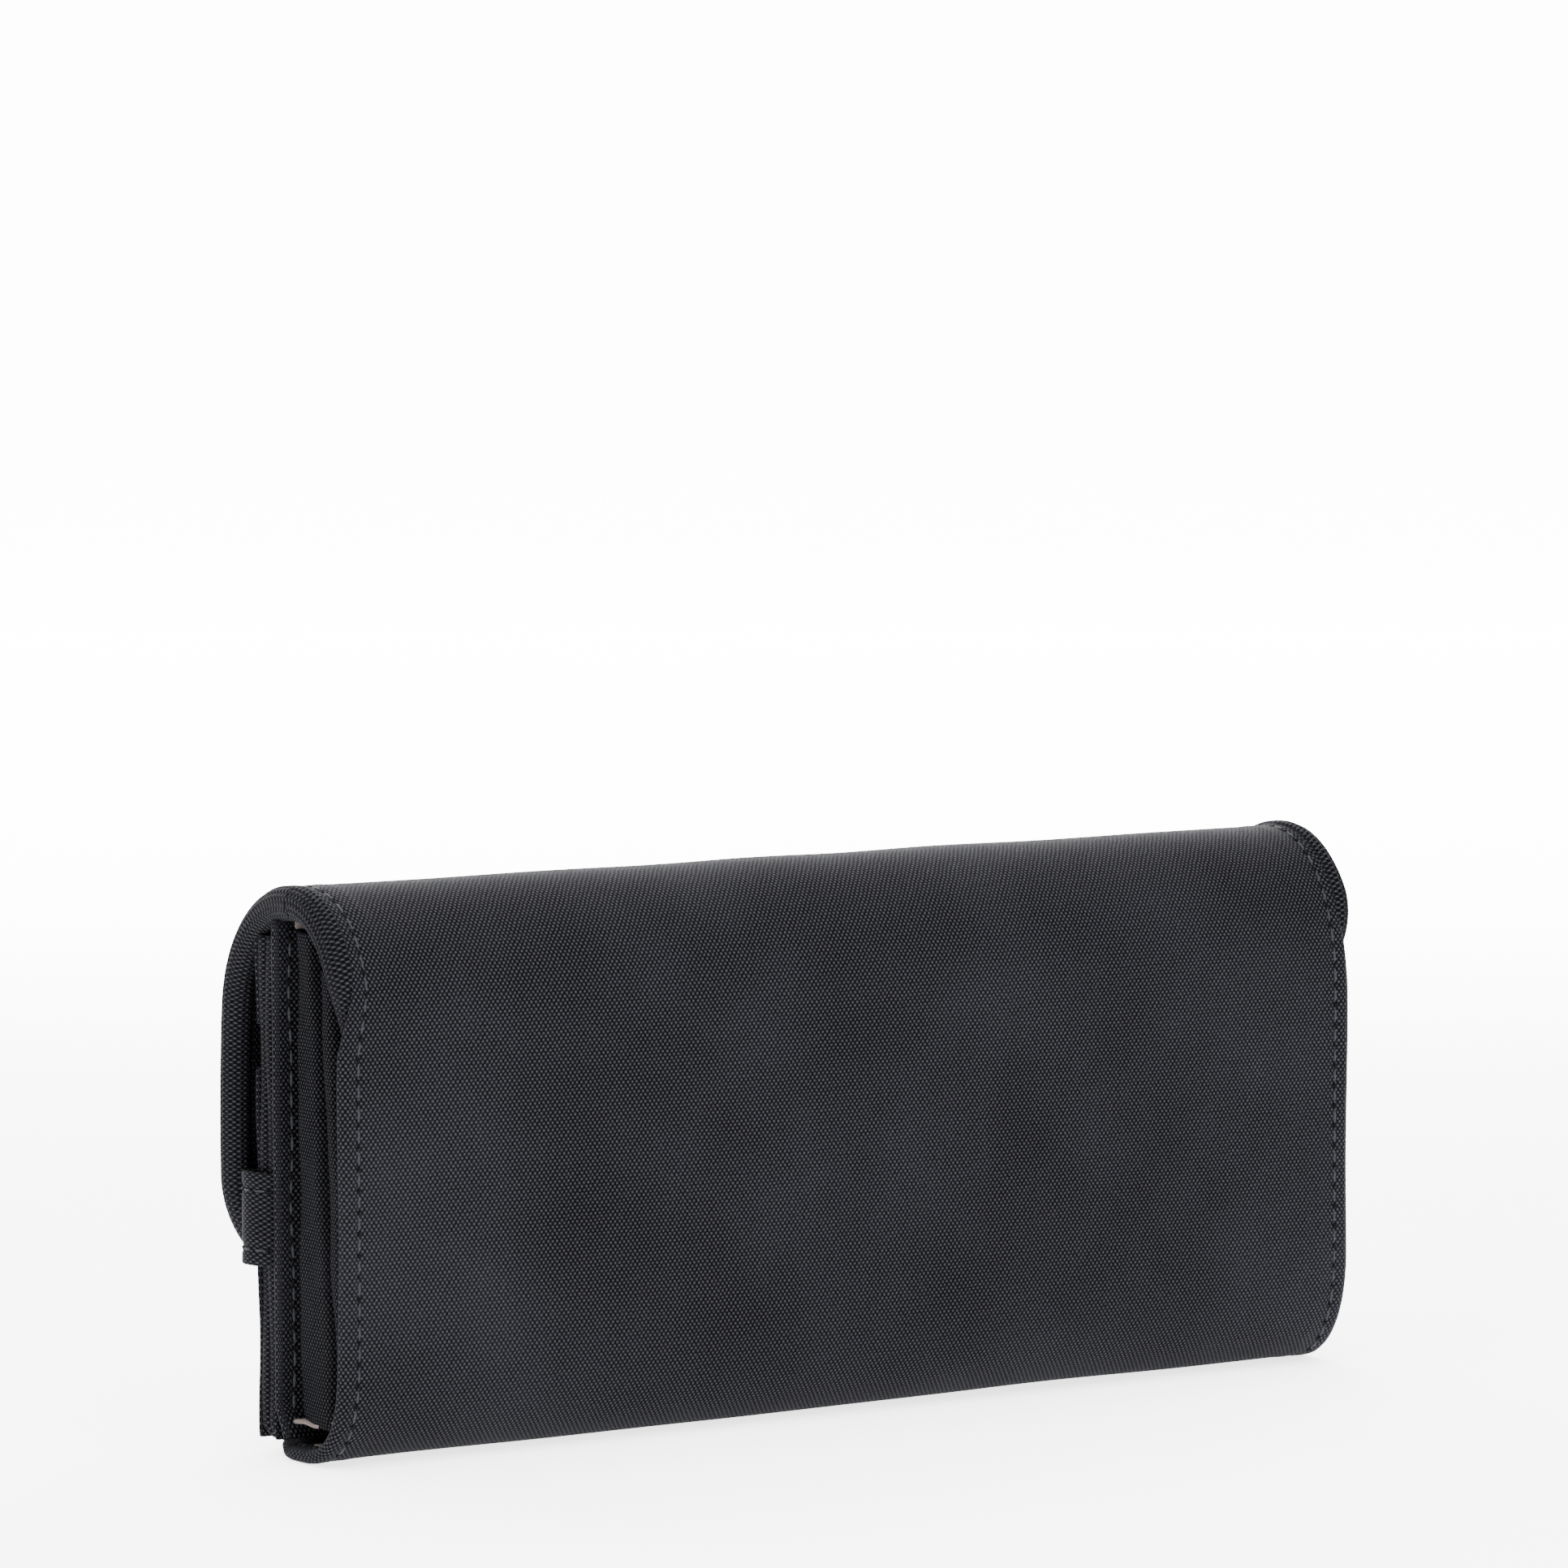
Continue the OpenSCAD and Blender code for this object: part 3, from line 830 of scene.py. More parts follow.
THREAD = ThreadFinish("Sewing thread", (0.019, 0.021, 0.024), 0.6)
# Painted shadow: a near-black colour for the discs at the needle holes.
HOLE_SHADOW = ThreadFinish("Needle hole", (0.0006, 0.0006, 0.0007), 1.0)
GUNMETAL = MetalFinish("Gunmetal plating", (0.17, 0.172, 0.18))


def dress(obj: bpy.types.Object, material: bpy.types.Material) -> None:
    """Gives a piece one material.

    Args:
        obj: the piece.
        material: its material.
    """
    obj.data.materials.clear()
    obj.data.materials.append(material)


# ------------------------------------------------------------ stitches and teeth


def grow_nodes(name: str, seed: bpy.types.Object, tree: bpy.types.NodeTree,
               inputs: dict[str, object]) -> bpy.types.Object:
    """Runs a Geometry Nodes tree on a seed object and keeps the result as a plain mesh.

    Args:
        name: name of the new piece.
        seed: the object that the tree starts from, which is removed.
        tree: the tree.
        inputs: the value of each input, by its socket's identifier.

    Returns:
        The new piece.
    """
    modifier = seed.modifiers.new("Growth", "NODES")
    modifier.node_group = tree
    for identifier, value in inputs.items():
        modifier[identifier] = value
    bpy.context.view_layer.update()
    mesh = bpy.data.meshes.new_from_object(seed.evaluated_get(bpy.context.evaluated_depsgraph_get()))
    mesh.name = name
    mesh.polygons.foreach_set("use_smooth", [True] * len(mesh.polygons))
    obj = bpy.data.objects.new(name, mesh)
    bpy.context.scene.collection.objects.link(obj)
    bpy.data.objects.remove(seed)
    return obj


class StitchNodes:
    """Geometry Nodes that put a stitch, or a dark disc of painted shadow at a needle hole, on each point of a seam
    line.
    """

    def __init__(self, thread: bpy.types.Material, hole: bpy.types.Material) -> None:
        """Builds the tree.

        Args:
            thread: material of the thread.
            hole: material of the painted shadow in the needle holes.
        """
        tree = bpy.data.node_groups.new("SeamStitches", "GeometryNodeTree")
        sockets = tree.interface
        sockets.new_socket(name="Geometry", in_out="INPUT", socket_type="NodeSocketGeometry")
        for name, value in (("Stitch length", 0.0024), ("Thread thickness", 0.0005), ("Hole size", 0.0006)):
            socket = sockets.new_socket(name=name, in_out="INPUT", socket_type="NodeSocketFloat")
            socket.default_value = value
        seed = sockets.new_socket(name="Seed", in_out="INPUT", socket_type="NodeSocketInt")
        seed.default_value = 7
        sockets.new_socket(name="Geometry", in_out="OUTPUT", socket_type="NodeSocketGeometry")
        add, link = tree.nodes.new, tree.links.new
        enter, leave = add("NodeGroupInput"), add("NodeGroupOutput")

        def shape(size: tuple[object, object, object], rows: int, ring: int) -> bpy.types.NodeSocket:
            """A small ellipsoid.

            Args:
                size: its three sizes, as values or sockets.
                rows: its rings from pole to pole.
                ring: the points on each of them.

            Returns:
                The socket of its geometry.
            """
            ball = add("GeometryNodeMeshUVSphere")
            ball.inputs["Segments"].default_value = ring
            ball.inputs["Rings"].default_value = rows
            ball.inputs["Radius"].default_value = 0.5
            pack = add("ShaderNodeCombineXYZ")
            for k, v in enumerate(size):
                if isinstance(v, float):
                    pack.inputs[k].default_value = v
                else:
                    link(v, pack.inputs[k])
            scale = add("GeometryNodeTransform")
            link(ball.outputs["Mesh"], scale.inputs["Geometry"])
            link(pack.outputs[0], scale.inputs["Scale"])
            return scale.outputs["Geometry"]

        def marked(label: str) -> bpy.types.NodeSocket:
            """Whether a point carries the mark.

            Args:
                label: name of the mark's attribute.

            Returns:
                The socket of the answer.
            """
            mark = add("GeometryNodeInputNamedAttribute")
            mark.inputs["Name"].default_value = label
            compare = add("FunctionNodeCompare")
            compare.inputs[1].default_value = 0.5
            link(mark.outputs[0], compare.inputs[0])
            return compare.outputs[0]

        def on_points(instance: bpy.types.NodeSocket, label: str, jitter: float) -> bpy.types.NodeSocket:
            """Puts a shape on the points that carry a mark, turned along the seam.

            Args:
                instance: the shape.
                label: name of the mark's attribute.
                jitter: how much the sizes differ, as a share.

            Returns:
                The socket of the instances.
            """
            place = add("GeometryNodeInstanceOnPoints")
            link(marked(label), place.inputs["Selection"])
            link(enter.outputs["Geometry"], place.inputs["Points"])
            link(instance, place.inputs["Instance"])
            turn: bpy.types.NodeSocket | None = None
            for axis, attribute in (("X", "along"), ("Z", "up")):
                vector = add("GeometryNodeInputNamedAttribute")
                vector.data_type = "FLOAT_VECTOR"
                vector.inputs["Name"].default_value = attribute
                align = add("FunctionNodeAlignRotationToVector")
                align.axis = axis
                align.pivot_axis = "AUTO" if axis == "X" else "X"
                link(vector.outputs[0], align.inputs["Vector"])
                if turn is not None:
                    link(turn, align.inputs["Rotation"])
                turn = align.outputs["Rotation"]
            link(turn, place.inputs["Rotation"])
            random = add("FunctionNodeRandomValue")
            random.inputs[2].default_value = 1 - jitter
            random.inputs[3].default_value = 1 + jitter
            link(enter.outputs["Seed"], random.inputs["Seed"])
            link(random.outputs[1], place.inputs["Scale"])
            return place.outputs["Instances"]

        thick = enter.outputs["Thread thickness"]
        size = enter.outputs["Hole size"]
        join = add("GeometryNodeJoinGeometry")
        link(on_points(shape((enter.outputs["Stitch length"], thick, thick), 6, 8), "thread", 0.1),
             join.inputs["Geometry"])
        # Painted shadow: a flat dark disc on each hole point stands for the shade in the needle hole.
        link(on_points(shape((size, size, 0.25 * MM), 4, 8), "hole", 0.25), join.inputs["Geometry"])
        real = add("GeometryNodeRealizeInstances")
        link(join.outputs["Geometry"], real.inputs["Geometry"])
        result = real.outputs["Geometry"]
        for label, material in (("thread", thread), ("hole", hole)):
            paint = add("GeometryNodeSetMaterial")
            paint.inputs["Material"].default_value = material
            link(marked(label), paint.inputs["Selection"])
            link(result, paint.inputs["Geometry"])
            result = paint.outputs["Geometry"]
        link(result, leave.inputs["Geometry"])
        self.tree = tree
        self.ids = {s.name: s.identifier for s in tree.interface.items_tree if s.in_out == "INPUT"}

    def sew(self, name: str, line: Array, up: Array, pitch: float = 3.7, stitch: float = 2.6,
            thread: float = 0.5, hole: float = 0.8, seed: int = 7) -> bpy.types.Object:
        """Sews stitches along a line, with dark discs of painted shadow at the needle holes.

        Args:
            name: name of the new piece.
            line: (n, 3) points of the seam, in millimetres.
            up: (n, 3) outward normals of the cloth at those points.
            pitch: distance from stitch to stitch, in millimetres.
            stitch: length of the visible thread.
            thread: thickness of the thread.
            hole: size of the dark disc of painted shadow at a needle hole.
            seed: of the small size changes.

        Returns:
            The stitches as a plain mesh.
        """
        run = np.concatenate([[0], np.cumsum(np.linalg.norm(np.diff(line, axis=0), axis=1))])
        count = max(1, int(run[-1] // pitch))
        start = (run[-1] - count * pitch) / 2
        half = np.arange(2 * count + 1) * pitch / 2 + start

        def sample(values: Array, s: Array) -> Array:
            """Values at distances s along the line."""
            return np.stack([np.interp(s, run, values[:, k]) for k in range(3)], -1)

        points = sample(line, half)
        normal = unit(sample(up, half))
        along = unit(sample(line, half + 0.3) - sample(line, half - 0.3))
        is_thread = (np.arange(len(half)) % 2).astype(np.float32)
        # Hole points carry the discs of painted shadow, set a little above the cloth.
        points = points + normal * np.where(is_thread > 0.5, 0.06, 0.14)[:, None]
        seam = write_mesh(name + "_line", points, [])
        for label, values in (("along", along), ("up", normal)):
            data = seam.data.attributes.new(label, "FLOAT_VECTOR", "POINT")
            data.data.foreach_set("vector", values.astype(np.float32).ravel())
        for label, values in (("thread", is_thread), ("hole", 1 - is_thread)):
            data = seam.data.attributes.new(label, "FLOAT", "POINT")
            data.data.foreach_set("value", values)
        inputs = {"Stitch length": stitch * MM, "Thread thickness": thread * MM, "Hole size": hole * MM,
                  "Seed": seed}
        obj = grow_nodes(name, seam, self.tree, {self.ids[label]: value for label, value in inputs.items()})
        for attribute in ("along", "up", "thread", "hole"):
            if attribute in obj.data.attributes:
                obj.data.attributes.remove(obj.data.attributes[attribute])
        return obj


class ZipTeethNodes:
    """Geometry Nodes that put rounded teeth on a straight line."""

    TOOTH_STEP = 1.9

    def __init__(self, material: bpy.types.Material) -> None:
        """Builds the tree.

        Args:
            material: material of the teeth.
        """
        tree = bpy.data.node_groups.new("ZipTeeth", "GeometryNodeTree")
        tree.interface.new_socket(name="Geometry", in_out="INPUT", socket_type="NodeSocketGeometry")
        for name in ("Start", "Step", "Tooth size"):
            tree.interface.new_socket(name=name, in_out="INPUT", socket_type="NodeSocketVector")
        tree.interface.new_socket(name="Count", in_out="INPUT", socket_type="NodeSocketInt")
        tree.interface.new_socket(name="Geometry", in_out="OUTPUT", socket_type="NodeSocketGeometry")
        add, link = tree.nodes.new, tree.links.new
        enter, leave = add("NodeGroupInput"), add("NodeGroupOutput")
        line = add("GeometryNodeMeshLine")
        link(enter.outputs["Count"], line.inputs["Count"])
        link(enter.outputs["Start"], line.inputs["Start Location"])
        link(enter.outputs["Step"], line.inputs["Offset"])
        ball = add("GeometryNodeMeshUVSphere")
        ball.inputs["Segments"].default_value = 12
        ball.inputs["Rings"].default_value = 8
        ball.inputs["Radius"].default_value = 0.5
        scale = add("GeometryNodeTransform")
        link(ball.outputs["Mesh"], scale.inputs["Geometry"])
        link(enter.outputs["Tooth size"], scale.inputs["Scale"])
        place = add("GeometryNodeInstanceOnPoints")
        link(line.outputs["Mesh"], place.inputs["Points"])
        link(scale.outputs["Geometry"], place.inputs["Instance"])
        real = add("GeometryNodeRealizeInstances")
        link(place.outputs["Instances"], real.inputs["Geometry"])
        paint = add("GeometryNodeSetMaterial")
        paint.inputs["Material"].default_value = material
        link(real.outputs["Geometry"], paint.inputs["Geometry"])
        link(paint.outputs["Geometry"], leave.inputs["Geometry"])
        self.tree = tree
        self.ids = {s.name: s.identifier for s in tree.interface.items_tree if s.in_out == "INPUT"}

    def make(self, name: str, box: Box, shift: float, lower: bool) -> bpy.types.Object:
        """Makes one row of teeth.

        Args:
            name: name of the new piece.
            box: the row's box in millimetres.
            shift: how far the row starts along, in tooth steps.
            lower: whether the row is the lower one.

        Returns:
            The row as a plain mesh.
        """
        step = self.TOOTH_STEP
        count = int((box.hi.x - box.lo.x) / step) - 1
        size = Vector((1.25, box.hi.y - box.lo.y, (box.hi.z - box.lo.z) * 1.2))
        z = box.mid.z + (0.16 if lower else -0.16)
        start = Vector((box.lo.x + step * (0.5 + shift), box.mid.y, z))
        seed = write_mesh(name + "_seed", np.array([[0, 0, 0.0]]), [])
        inputs = {"Start": start * MM, "Step": Vector((step, 0, 0)) * MM, "Tooth size": size * MM, "Count": count}
        return grow_nodes(name, seed, self.tree, {self.ids[label]: value for label, value in inputs.items()})


# ------------------------------------------------------------ the workshop


class Workshop:
    """What every sub-assembly needs: the sizes, the finishes and the stitch maker."""

    def __init__(self) -> None:
        """Reads the frame's sizes and builds the shared nodes."""
        self.sizes = WalletSizes.read()
        self.shape = ShellShape(self.sizes)
        self.outline = self.shape.outline()
        self.finishes = Finishes()
        self.stitches = StitchNodes(self.finishes.get(THREAD), self.finishes.get(HOLE_SHADOW))

    def report(self, obj: bpy.types.Object, slot: str) -> None:
        """Logs a piece with the record's slot that it takes.

        Args:
            obj: the piece.
            slot: the record's material slot.
        """
        log.info("%s: %d faces, %s", obj.name, len(obj.data.polygons), slot)

    def finish(self, obj: bpy.types.Object, finish: ClothFinish, slot: str) -> None:
        """Dresses a piece and logs the record's slot that it takes.

        Args:
            obj: the piece.
            finish: its finish.
            slot: the record's material slot.
        """
        dress(obj, self.finishes.get(finish))
        self.report(obj, slot)


def smooth(t: Array | float) -> Array:
    """Eases from 0 to 1 without a corner."""
    t = np.clip(t, 0, 1)
    return t * t * (3 - 2 * t)


def flare(half_w: float, x: Array | float, z: Array | float) -> Array:
    """How far the ends of the front section are pushed out by the gussets.

    Args:
        half_w: half the wallet's width, in millimetres.
        x: positions along the wallet.
        z: heights.

    Returns:
        The distance in Y, which is negative towards the flap.
    """
    size = 2.6 + 0.8 * np.clip(np.asarray(z) / 90, 0, 1)
    return -size * smooth((np.abs(x) - (half_w - 13)) / 10) * smooth((np.asarray(z) - 2.4) / 7)


@dataclass(frozen=True)
class Crossing:
    """Two bodies and two points of a joint that a piece crosses; the piece is not bent at it."""

    first: Body
    second: Body
    start: tuple[float, float, float]
    end: tuple[float, float, float]

    def apply(self, obj: bpy.types.Object) -> None:
        """Bakes a piece's transform into its mesh; the piece is not bent."""
        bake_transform(obj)


# ------------------------------------------------------------ the shell


@dataclass
class Shell:
    """The back, the base, the top and the flap: layered sheets that bend at the two top folds."""

    shop: Workshop
    hem_w: float = 5.2
    flap_corner_r: float = 20.0
    roll_corner_r: float = 18.5
    stitch: Topstitch = field(default_factory=Topstitch)

    hill: float = 0.24
    layer_hill: float = 0.2
    stitch_hill: float = 0.32
    left_share: float = 0.35

    ROLL_DEPTH = {Side.LEFT: 2.3, Side.RIGHT: 2.9}
    ROLL_INSET = {Side.LEFT: -0.3, Side.RIGHT: 1.8}
    REAR = Crossing(Body.BACK, Body.SPINE, (0, 16, 76), (0, -2, 97.5))
    FRONT = Crossing(Body.SPINE, Body.FLAP, (0, -4.5, 97.5), (0, -24, 76))

    def seam(self) -> float:
        """Distance along the outline of the seam between the two halves."""
        return self.shop.outline.nearest(self.shop.shape.seam_y, self.shop.sizes.height)

    def corner_drop(self, s: Array) -> Array:
        """How much narrower the flap is near its lower edge, where the corners are round.

        Args:
            s: distances along the outline.

        Returns:
            The drops in half width.
        """
        r = self.flap_corner_r
        d = np.clip(r - (self.shop.outline.length - s), 0, r)
        return r - np.sqrt(np.maximum(r * r - d * d, 0))

    def half_width(self, s: Array, across: float | Array = 1.0) -> Array:
        """Half the width of the nylon along the outline: it narrows where the edge roll covers it.

        Args:
            s: distances along the outline.
            across: negative towards the -X end, which is drawn in less.

        Returns:
            The half widths.
        """
        run, w = self.shop.outline, self.shop.sizes
        at = [run.nearest(w.back_y, 71), run.nearest(w.back_y, 75), run.nearest(w.back_y - 1, 82),
              run.nearest(w.back_y - 6, 93), self.seam(), run.length]
        drop = np.interp(s, at, (0, 0.7, 2.2, 2.4, 1.6, 1.6)) * np.where(
            np.asarray(across) < 0, self.left_share, 1.0)
        return w.half_w - drop - self.corner_drop(s) * 0.97

    def face(self, x: Array, s: Array, depth: float | Array, wave: float) -> Array:
        """Points of a layer's outer face.

        Args:
            x: (rows, columns) positions along the wallet.
            s: (rows, columns) distances along the outline.
            depth: how far under the shell's outer face the layer is.
            wave: height of the slow hills.

        Returns:
            (rows, columns, 3) points in millimetres.
        """
        run = self.shop.outline
        flat = run.at(s[:, 0])
        out = run.normal(s[:, 0])
        hill = undulation(x, s, wave) * (1 - 0.75 * np.exp(-((s - self.seam()) / 22) ** 2))
        edge = np.clip((self.shop.sizes.half_w - np.abs(x)) / 6, 0, 1)
        lift = hill * edge - depth
        point = flat[:, None, :] + out[:, None, :] * lift[..., None]
        return np.concatenate([x[..., None], point], -1)

    def out(self, rows: Array) -> Array:
        """The outline's normals as 3-D vectors, one for each row."""
        return np.concatenate([np.zeros((len(rows), 1)), self.shop.outline.normal(rows)], -1)

    def nylon(self, name: str, s0: float, s1: float, crossing: Crossing, nodes: Sequence[str],
              rests_on: str) -> None:
        """Makes one half of the outer nylon.

        Args:
            name: name of the piece.
            s0: where it starts along the outline.
            s1: where it ends.
            crossing: the joint that it crosses, whose apply only bakes its transform.
            nodes: the CAD nodes that it stands for.
            rests_on: the node or piece under it, not used.
        """
        w, run = self.shop.sizes, self.shop.outline
        rows = np.linspace(s0, s1, int((s1 - s0) / 0.95) + 1)
        cols = graded(1.0, 9 / w.half_w, 0.42 / w.half_w, 1.7 / w.half_w)
        s = np.repeat(rows[:, None], len(cols), 1)
        half = self.half_width(rows[:, None], cols[None, :])
        x = cols[None, :] * half
        grid = self.face(x, s, 0.0, self.hill)
        inset = half - np.abs(x)
        ridge = 0.05 * np.exp(-((inset - self.hem_w - 0.6) / 0.7) ** 2) - 0.06 * np.clip(
            (inset - self.hem_w) / 2.5, 0, 1)
        soft = 0.12 * np.exp(-((inset - 0.9) / 0.9) ** 2)
        ruffle = 0.14 * np.sin(s / 5.1 + 1.3 * np.sin(s / 19)) * np.exp(-(inset / 3.5) ** 2)
        lift = ridge + soft - self.stitch.groove(inset - self.stitch.inset, s)
        creases = 0.1 * np.exp(-((s - self.seam()) / 16) ** 2) * np.sin(x / 9.5 + 2.1 * np.sin(x / 37)) * np.clip(
            (inset - 6) / 30, 0, 1)
        grid = grid + self.out(rows)[:, None, :] * (lift + creases)[..., None]
        grid[..., 0] += np.sign(x) * ruffle
        hem = np.clip((inset - self.hem_w) / 1.0, 0, 1)
        bare = 1 - np.clip((s - run.nearest(w.back_y, 70)) / 14, 0, 1)
        thick = 0.85 + 1.65 * bare * (1 - hem)
        sheet = ClothSheet(name, grid, np.stack([x, s], -1), thick, flip=True).obj
        self.shop.finish(sheet, NYLON, "nylon")
        crossing.apply(sheet)
        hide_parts(*nodes)

    def layer(self, name: str, s0: float, s1: float, depth: float, thickness: float, inset: float,
              crossing: Crossing, finish: ClothFinish, slot: str, nodes: Sequence[str], rests_on: str) -> None:
        """Makes one half of an inner layer.

        Args:
            name: name of the piece.
            s0: where it starts along the outline.
            s1: where it ends.
            depth: depth of its outer face.
            thickness: its thickness.
            inset: how far its edge stays behind the nylon's edge.
            crossing: the joint that it crosses, whose apply only bakes its transform.
            finish: its finish.
            slot: the record's material slot.
            nodes: the CAD nodes that it stands for.
            rests_on: the node or piece under it, not used.
        """
        w = self.shop.sizes
        rows = np.linspace(s0, s1, int((s1 - s0) / 1.4) + 1)
        cols = graded(1.0, 8 / w.half_w, 0.8 / w.half_w, 3.0 / w.half_w)
        s = np.repeat(rows[:, None], len(cols), 1)
        half = self.half_width(rows[:, None], cols[None, :]) - inset
        x = cols[None, :] * half
        grid = self.face(x, s, depth, self.layer_hill)
        sheet = ClothSheet(name, grid, np.stack([x, s], -1), thickness, flip=True).obj
        self.shop.finish(sheet, finish, slot)
        crossing.apply(sheet)
        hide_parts(*nodes)

    def topstitches(self, name: str, s0: float, s1: float, crossing: Crossing, side: Side, seed: int) -> None:
        """Sews the line of stitches along one edge of the nylon.

        Args:
            name: name of the piece.
            s0: where the line starts along the outline.
            s1: where it ends.
            crossing: the joint that it crosses, whose apply only bakes its transform.
            side: which end of the wallet.
            seed: of the small size changes.
        """
        rows = np.linspace(s0, s1, int((s1 - s0) / 0.8) + 1)
        x = side.value * (self.half_width(rows, side.value) - self.stitch.inset)
        grid = self.face(x[:, None], rows[:, None], self.stitch.pucker * 0.6, self.stitch_hill)[:, 0]
        obj = self.shop.stitches.sew(name, grid, self.out(rows), self.stitch.pitch, seed=seed)
        self.shop.report(obj, "nylon")
        crossing.apply(obj)

    def roll(self, name: str, s0: float, s1: float, crossing: Crossing, side: Side, nodes: Sequence[str],
             taper_start: float) -> None:
        """Makes the ribbed roll of folded cloth along one end.

        Args:
            name: name of the piece.
            s0: where it starts along the outline.
            s1: where it ends.
            crossing: the joint that it crosses, whose apply only bakes its transform.
            side: which end of the wallet.
            nodes: the CAD nodes that it stands for.
            taper_start: length over which it swells from its start.
        """
        run = self.shop.outline
        rows = np.linspace(s0, s1, int((s1 - s0) / 0.6) + 1)
        grow = 0.12 + 0.88 * np.sin(np.clip((rows - s0) / taper_start, 0, 1) * math.pi / 2)
        out = self.out(rows)
        flat = run.at(rows) - run.normal(rows) * (self.ROLL_DEPTH[side] + 1.9 * (1 - grow))[:, None]
        x = side.value * (self.shop.sizes.half_w - self.ROLL_INSET[side] - 1.7 * (1 - grow)
                          + 0.08 * np.sin(rows / 7))
        centres = np.concatenate([x[:, None], flat], -1)
        across = np.zeros_like(centres)
        across[:, 0] = 1
        tube = Tube(name, centres, across, out, 0.6 + 2.1 * grow, 2.95 * grow, sides=90, ribs=15,
                    rib_height=0.05).obj
        self.shop.finish(tube, NYLON_EDGE, "nylon_band")
        crossing.apply(tube)
        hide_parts(*nodes)

    def flap_roll(self) -> None:
        """Makes the roll round the flap: down one end, round both corners and up the other end."""
        run, w = self.shop.outline, self.shop.sizes
        s0 = self.seam() - 0.6
        turn_at, r = run.length - self.flap_corner_r, self.roll_corner_r
        down = np.linspace(s0, turn_at, int((turn_at - s0) / 0.7) + 1)
        half = w.half_w - 1.1
        a = np.linspace(0, math.pi / 2, 44)[1:]
        corner = np.stack([half - r + r * np.cos(a), turn_at + r * np.sin(a)], -1)
        low = np.linspace(half - r, 0, 90)[1:]
        path = np.concatenate([np.stack([np.full(len(down), half), down], -1), corner,
                               np.stack([low, np.full(len(low), run.length - 1.5)], -1)])
        mirror = path[::-1][1:] * np.array([-1, 1])
        path = np.concatenate([path, mirror])
        flat, normal = run.at(path[:, 1]), run.normal(path[:, 1])
        right = path[:, 0] > 0
        after_seam = smooth((path[:, 1] - s0) / 30)
        depth = 2.3 - 0.6 * after_seam + np.where(right, 0.6, 0.0) * (1 - after_seam)
        out_by = np.where(right, -0.7, 1.4) * (1 - smooth((path[:, 1] - s0 - 10) / 30))
        shown = path[:, :1] + (np.sign(path[:, 0]) * out_by)[:, None]
        centres = np.concatenate([shown, flat - normal * depth[:, None]], -1)
        up = np.concatenate([np.zeros((len(path), 1)), normal], -1)
        along = unit(np.gradient(centres, axis=0))
        across = unit(np.cross(along, up))
        top = np.clip((path[:, 1] - s0) / 40, 0, 1)
        tube = Tube("flap_edge_roll", centres, across, up, 2.7 - 0.4 * top, 2.95 - 0.1 * top, sides=60, ribs=14,
                    rib_height=0.05).obj
        self.shop.finish(tube, NYLON_EDGE, "nylon_band")
        self.FRONT.apply(tube)
        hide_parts("flap_edge_band", "spine_edge_band_left", "spine_edge_band_right")

    def base_lining(self) -> None:
        """Makes the warm grey lining that shows on the floor of the body at both ends."""
        w = self.shop.sizes
        y0, y1 = w.base_y + 0.8, w.back_y - 6.2
        rows = np.linspace(y0, y1, 16)
        cols = np.linspace(-w.half_w + 1.2, w.half_w - 1.2, 150)
        x, y = np.meshgrid(cols, rows)
        rise = 6.9 + 1.7 * np.clip((y - 3) / 7, 0, 1) ** 2 + 0.14 * np.sin(x / 2.7 + y) + 0.08 * np.sin(x / 1.3)
        ry, rz = self.shop.shape.base_fold
        shell = rz - rz * np.sqrt(1 - np.clip((y - w.back_y + ry) / ry, 0, 1) ** 2)
        z = np.maximum(4.2 + (rise - 4.2) * np.clip((np.abs(x) - 60) / 30, 0, 1), shell + 3.7)
        sheet = ClothSheet("base_lining_fold", np.stack([x, y, z], -1), np.stack([x, y], -1), 0.8).obj
        self.shop.finish(sheet, LINING, "lining")
        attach(sheet, Body.BACK.value)

    def build(self) -> None:
        """Makes every layer of the shell."""
        run, w = self.shop.outline, self.shop.sizes
        seam = self.seam()
        above_corner = run.nearest(w.base_y + 5.2, 0)
        self.nylon("shell_back", 0.0, seam + 0.4, self.REAR, ("outer_back_panel",), "back_foam_sheet")
        self.nylon("shell_flap", seam - 0.4, run.length, self.FRONT, ("spine_outer", "flap_outer"),
                   "flap_foam_sheet")
        self.layer("back_foam_sheet", above_corner, seam, 1.0, 1.1, 5.6, self.REAR, FOAM, "foam",
                   ("back_foam",), "back_lining_sheet")
        self.layer("flap_foam_sheet", seam, run.length - 5, 1.0, 1.1, 5.6, self.FRONT, FOAM, "foam",
                   ("spine_foam", "flap_foam"), "flap_lining_sheet")
        self.layer("back_lining_sheet", above_corner, seam, 2.3, 0.6, 2.4, self.REAR, LINING, "lining",
                   ("back_lining",), "back_foam_sheet")
        self.layer("flap_lining_sheet", seam, run.length - 2, 2.3, 0.6, 2.4, self.FRONT, FACING, "flap_facing",
                   ("spine_lining", "flap_lining"), "flap_foam_sheet")
        self.base_lining()
        start = run.nearest(w.back_y, 71.5)
        for side in Side:
            label = side.name.lower()
            self.topstitches(f"stitches_back_{label}", 2.5, seam - 0.5, self.REAR, side, 11 + side.value)
            self.topstitches(f"stitches_flap_{label}", seam + 1.2, run.length - 22, self.FRONT, side,
                             21 + side.value)
            self.roll(f"rear_edge_roll_{label}", start, seam + 0.6, self.REAR, side,
                      (f"back_edge_band_{label}",), 17.0)
        self.flap_roll()


# ------------------------------------------------------------ panels


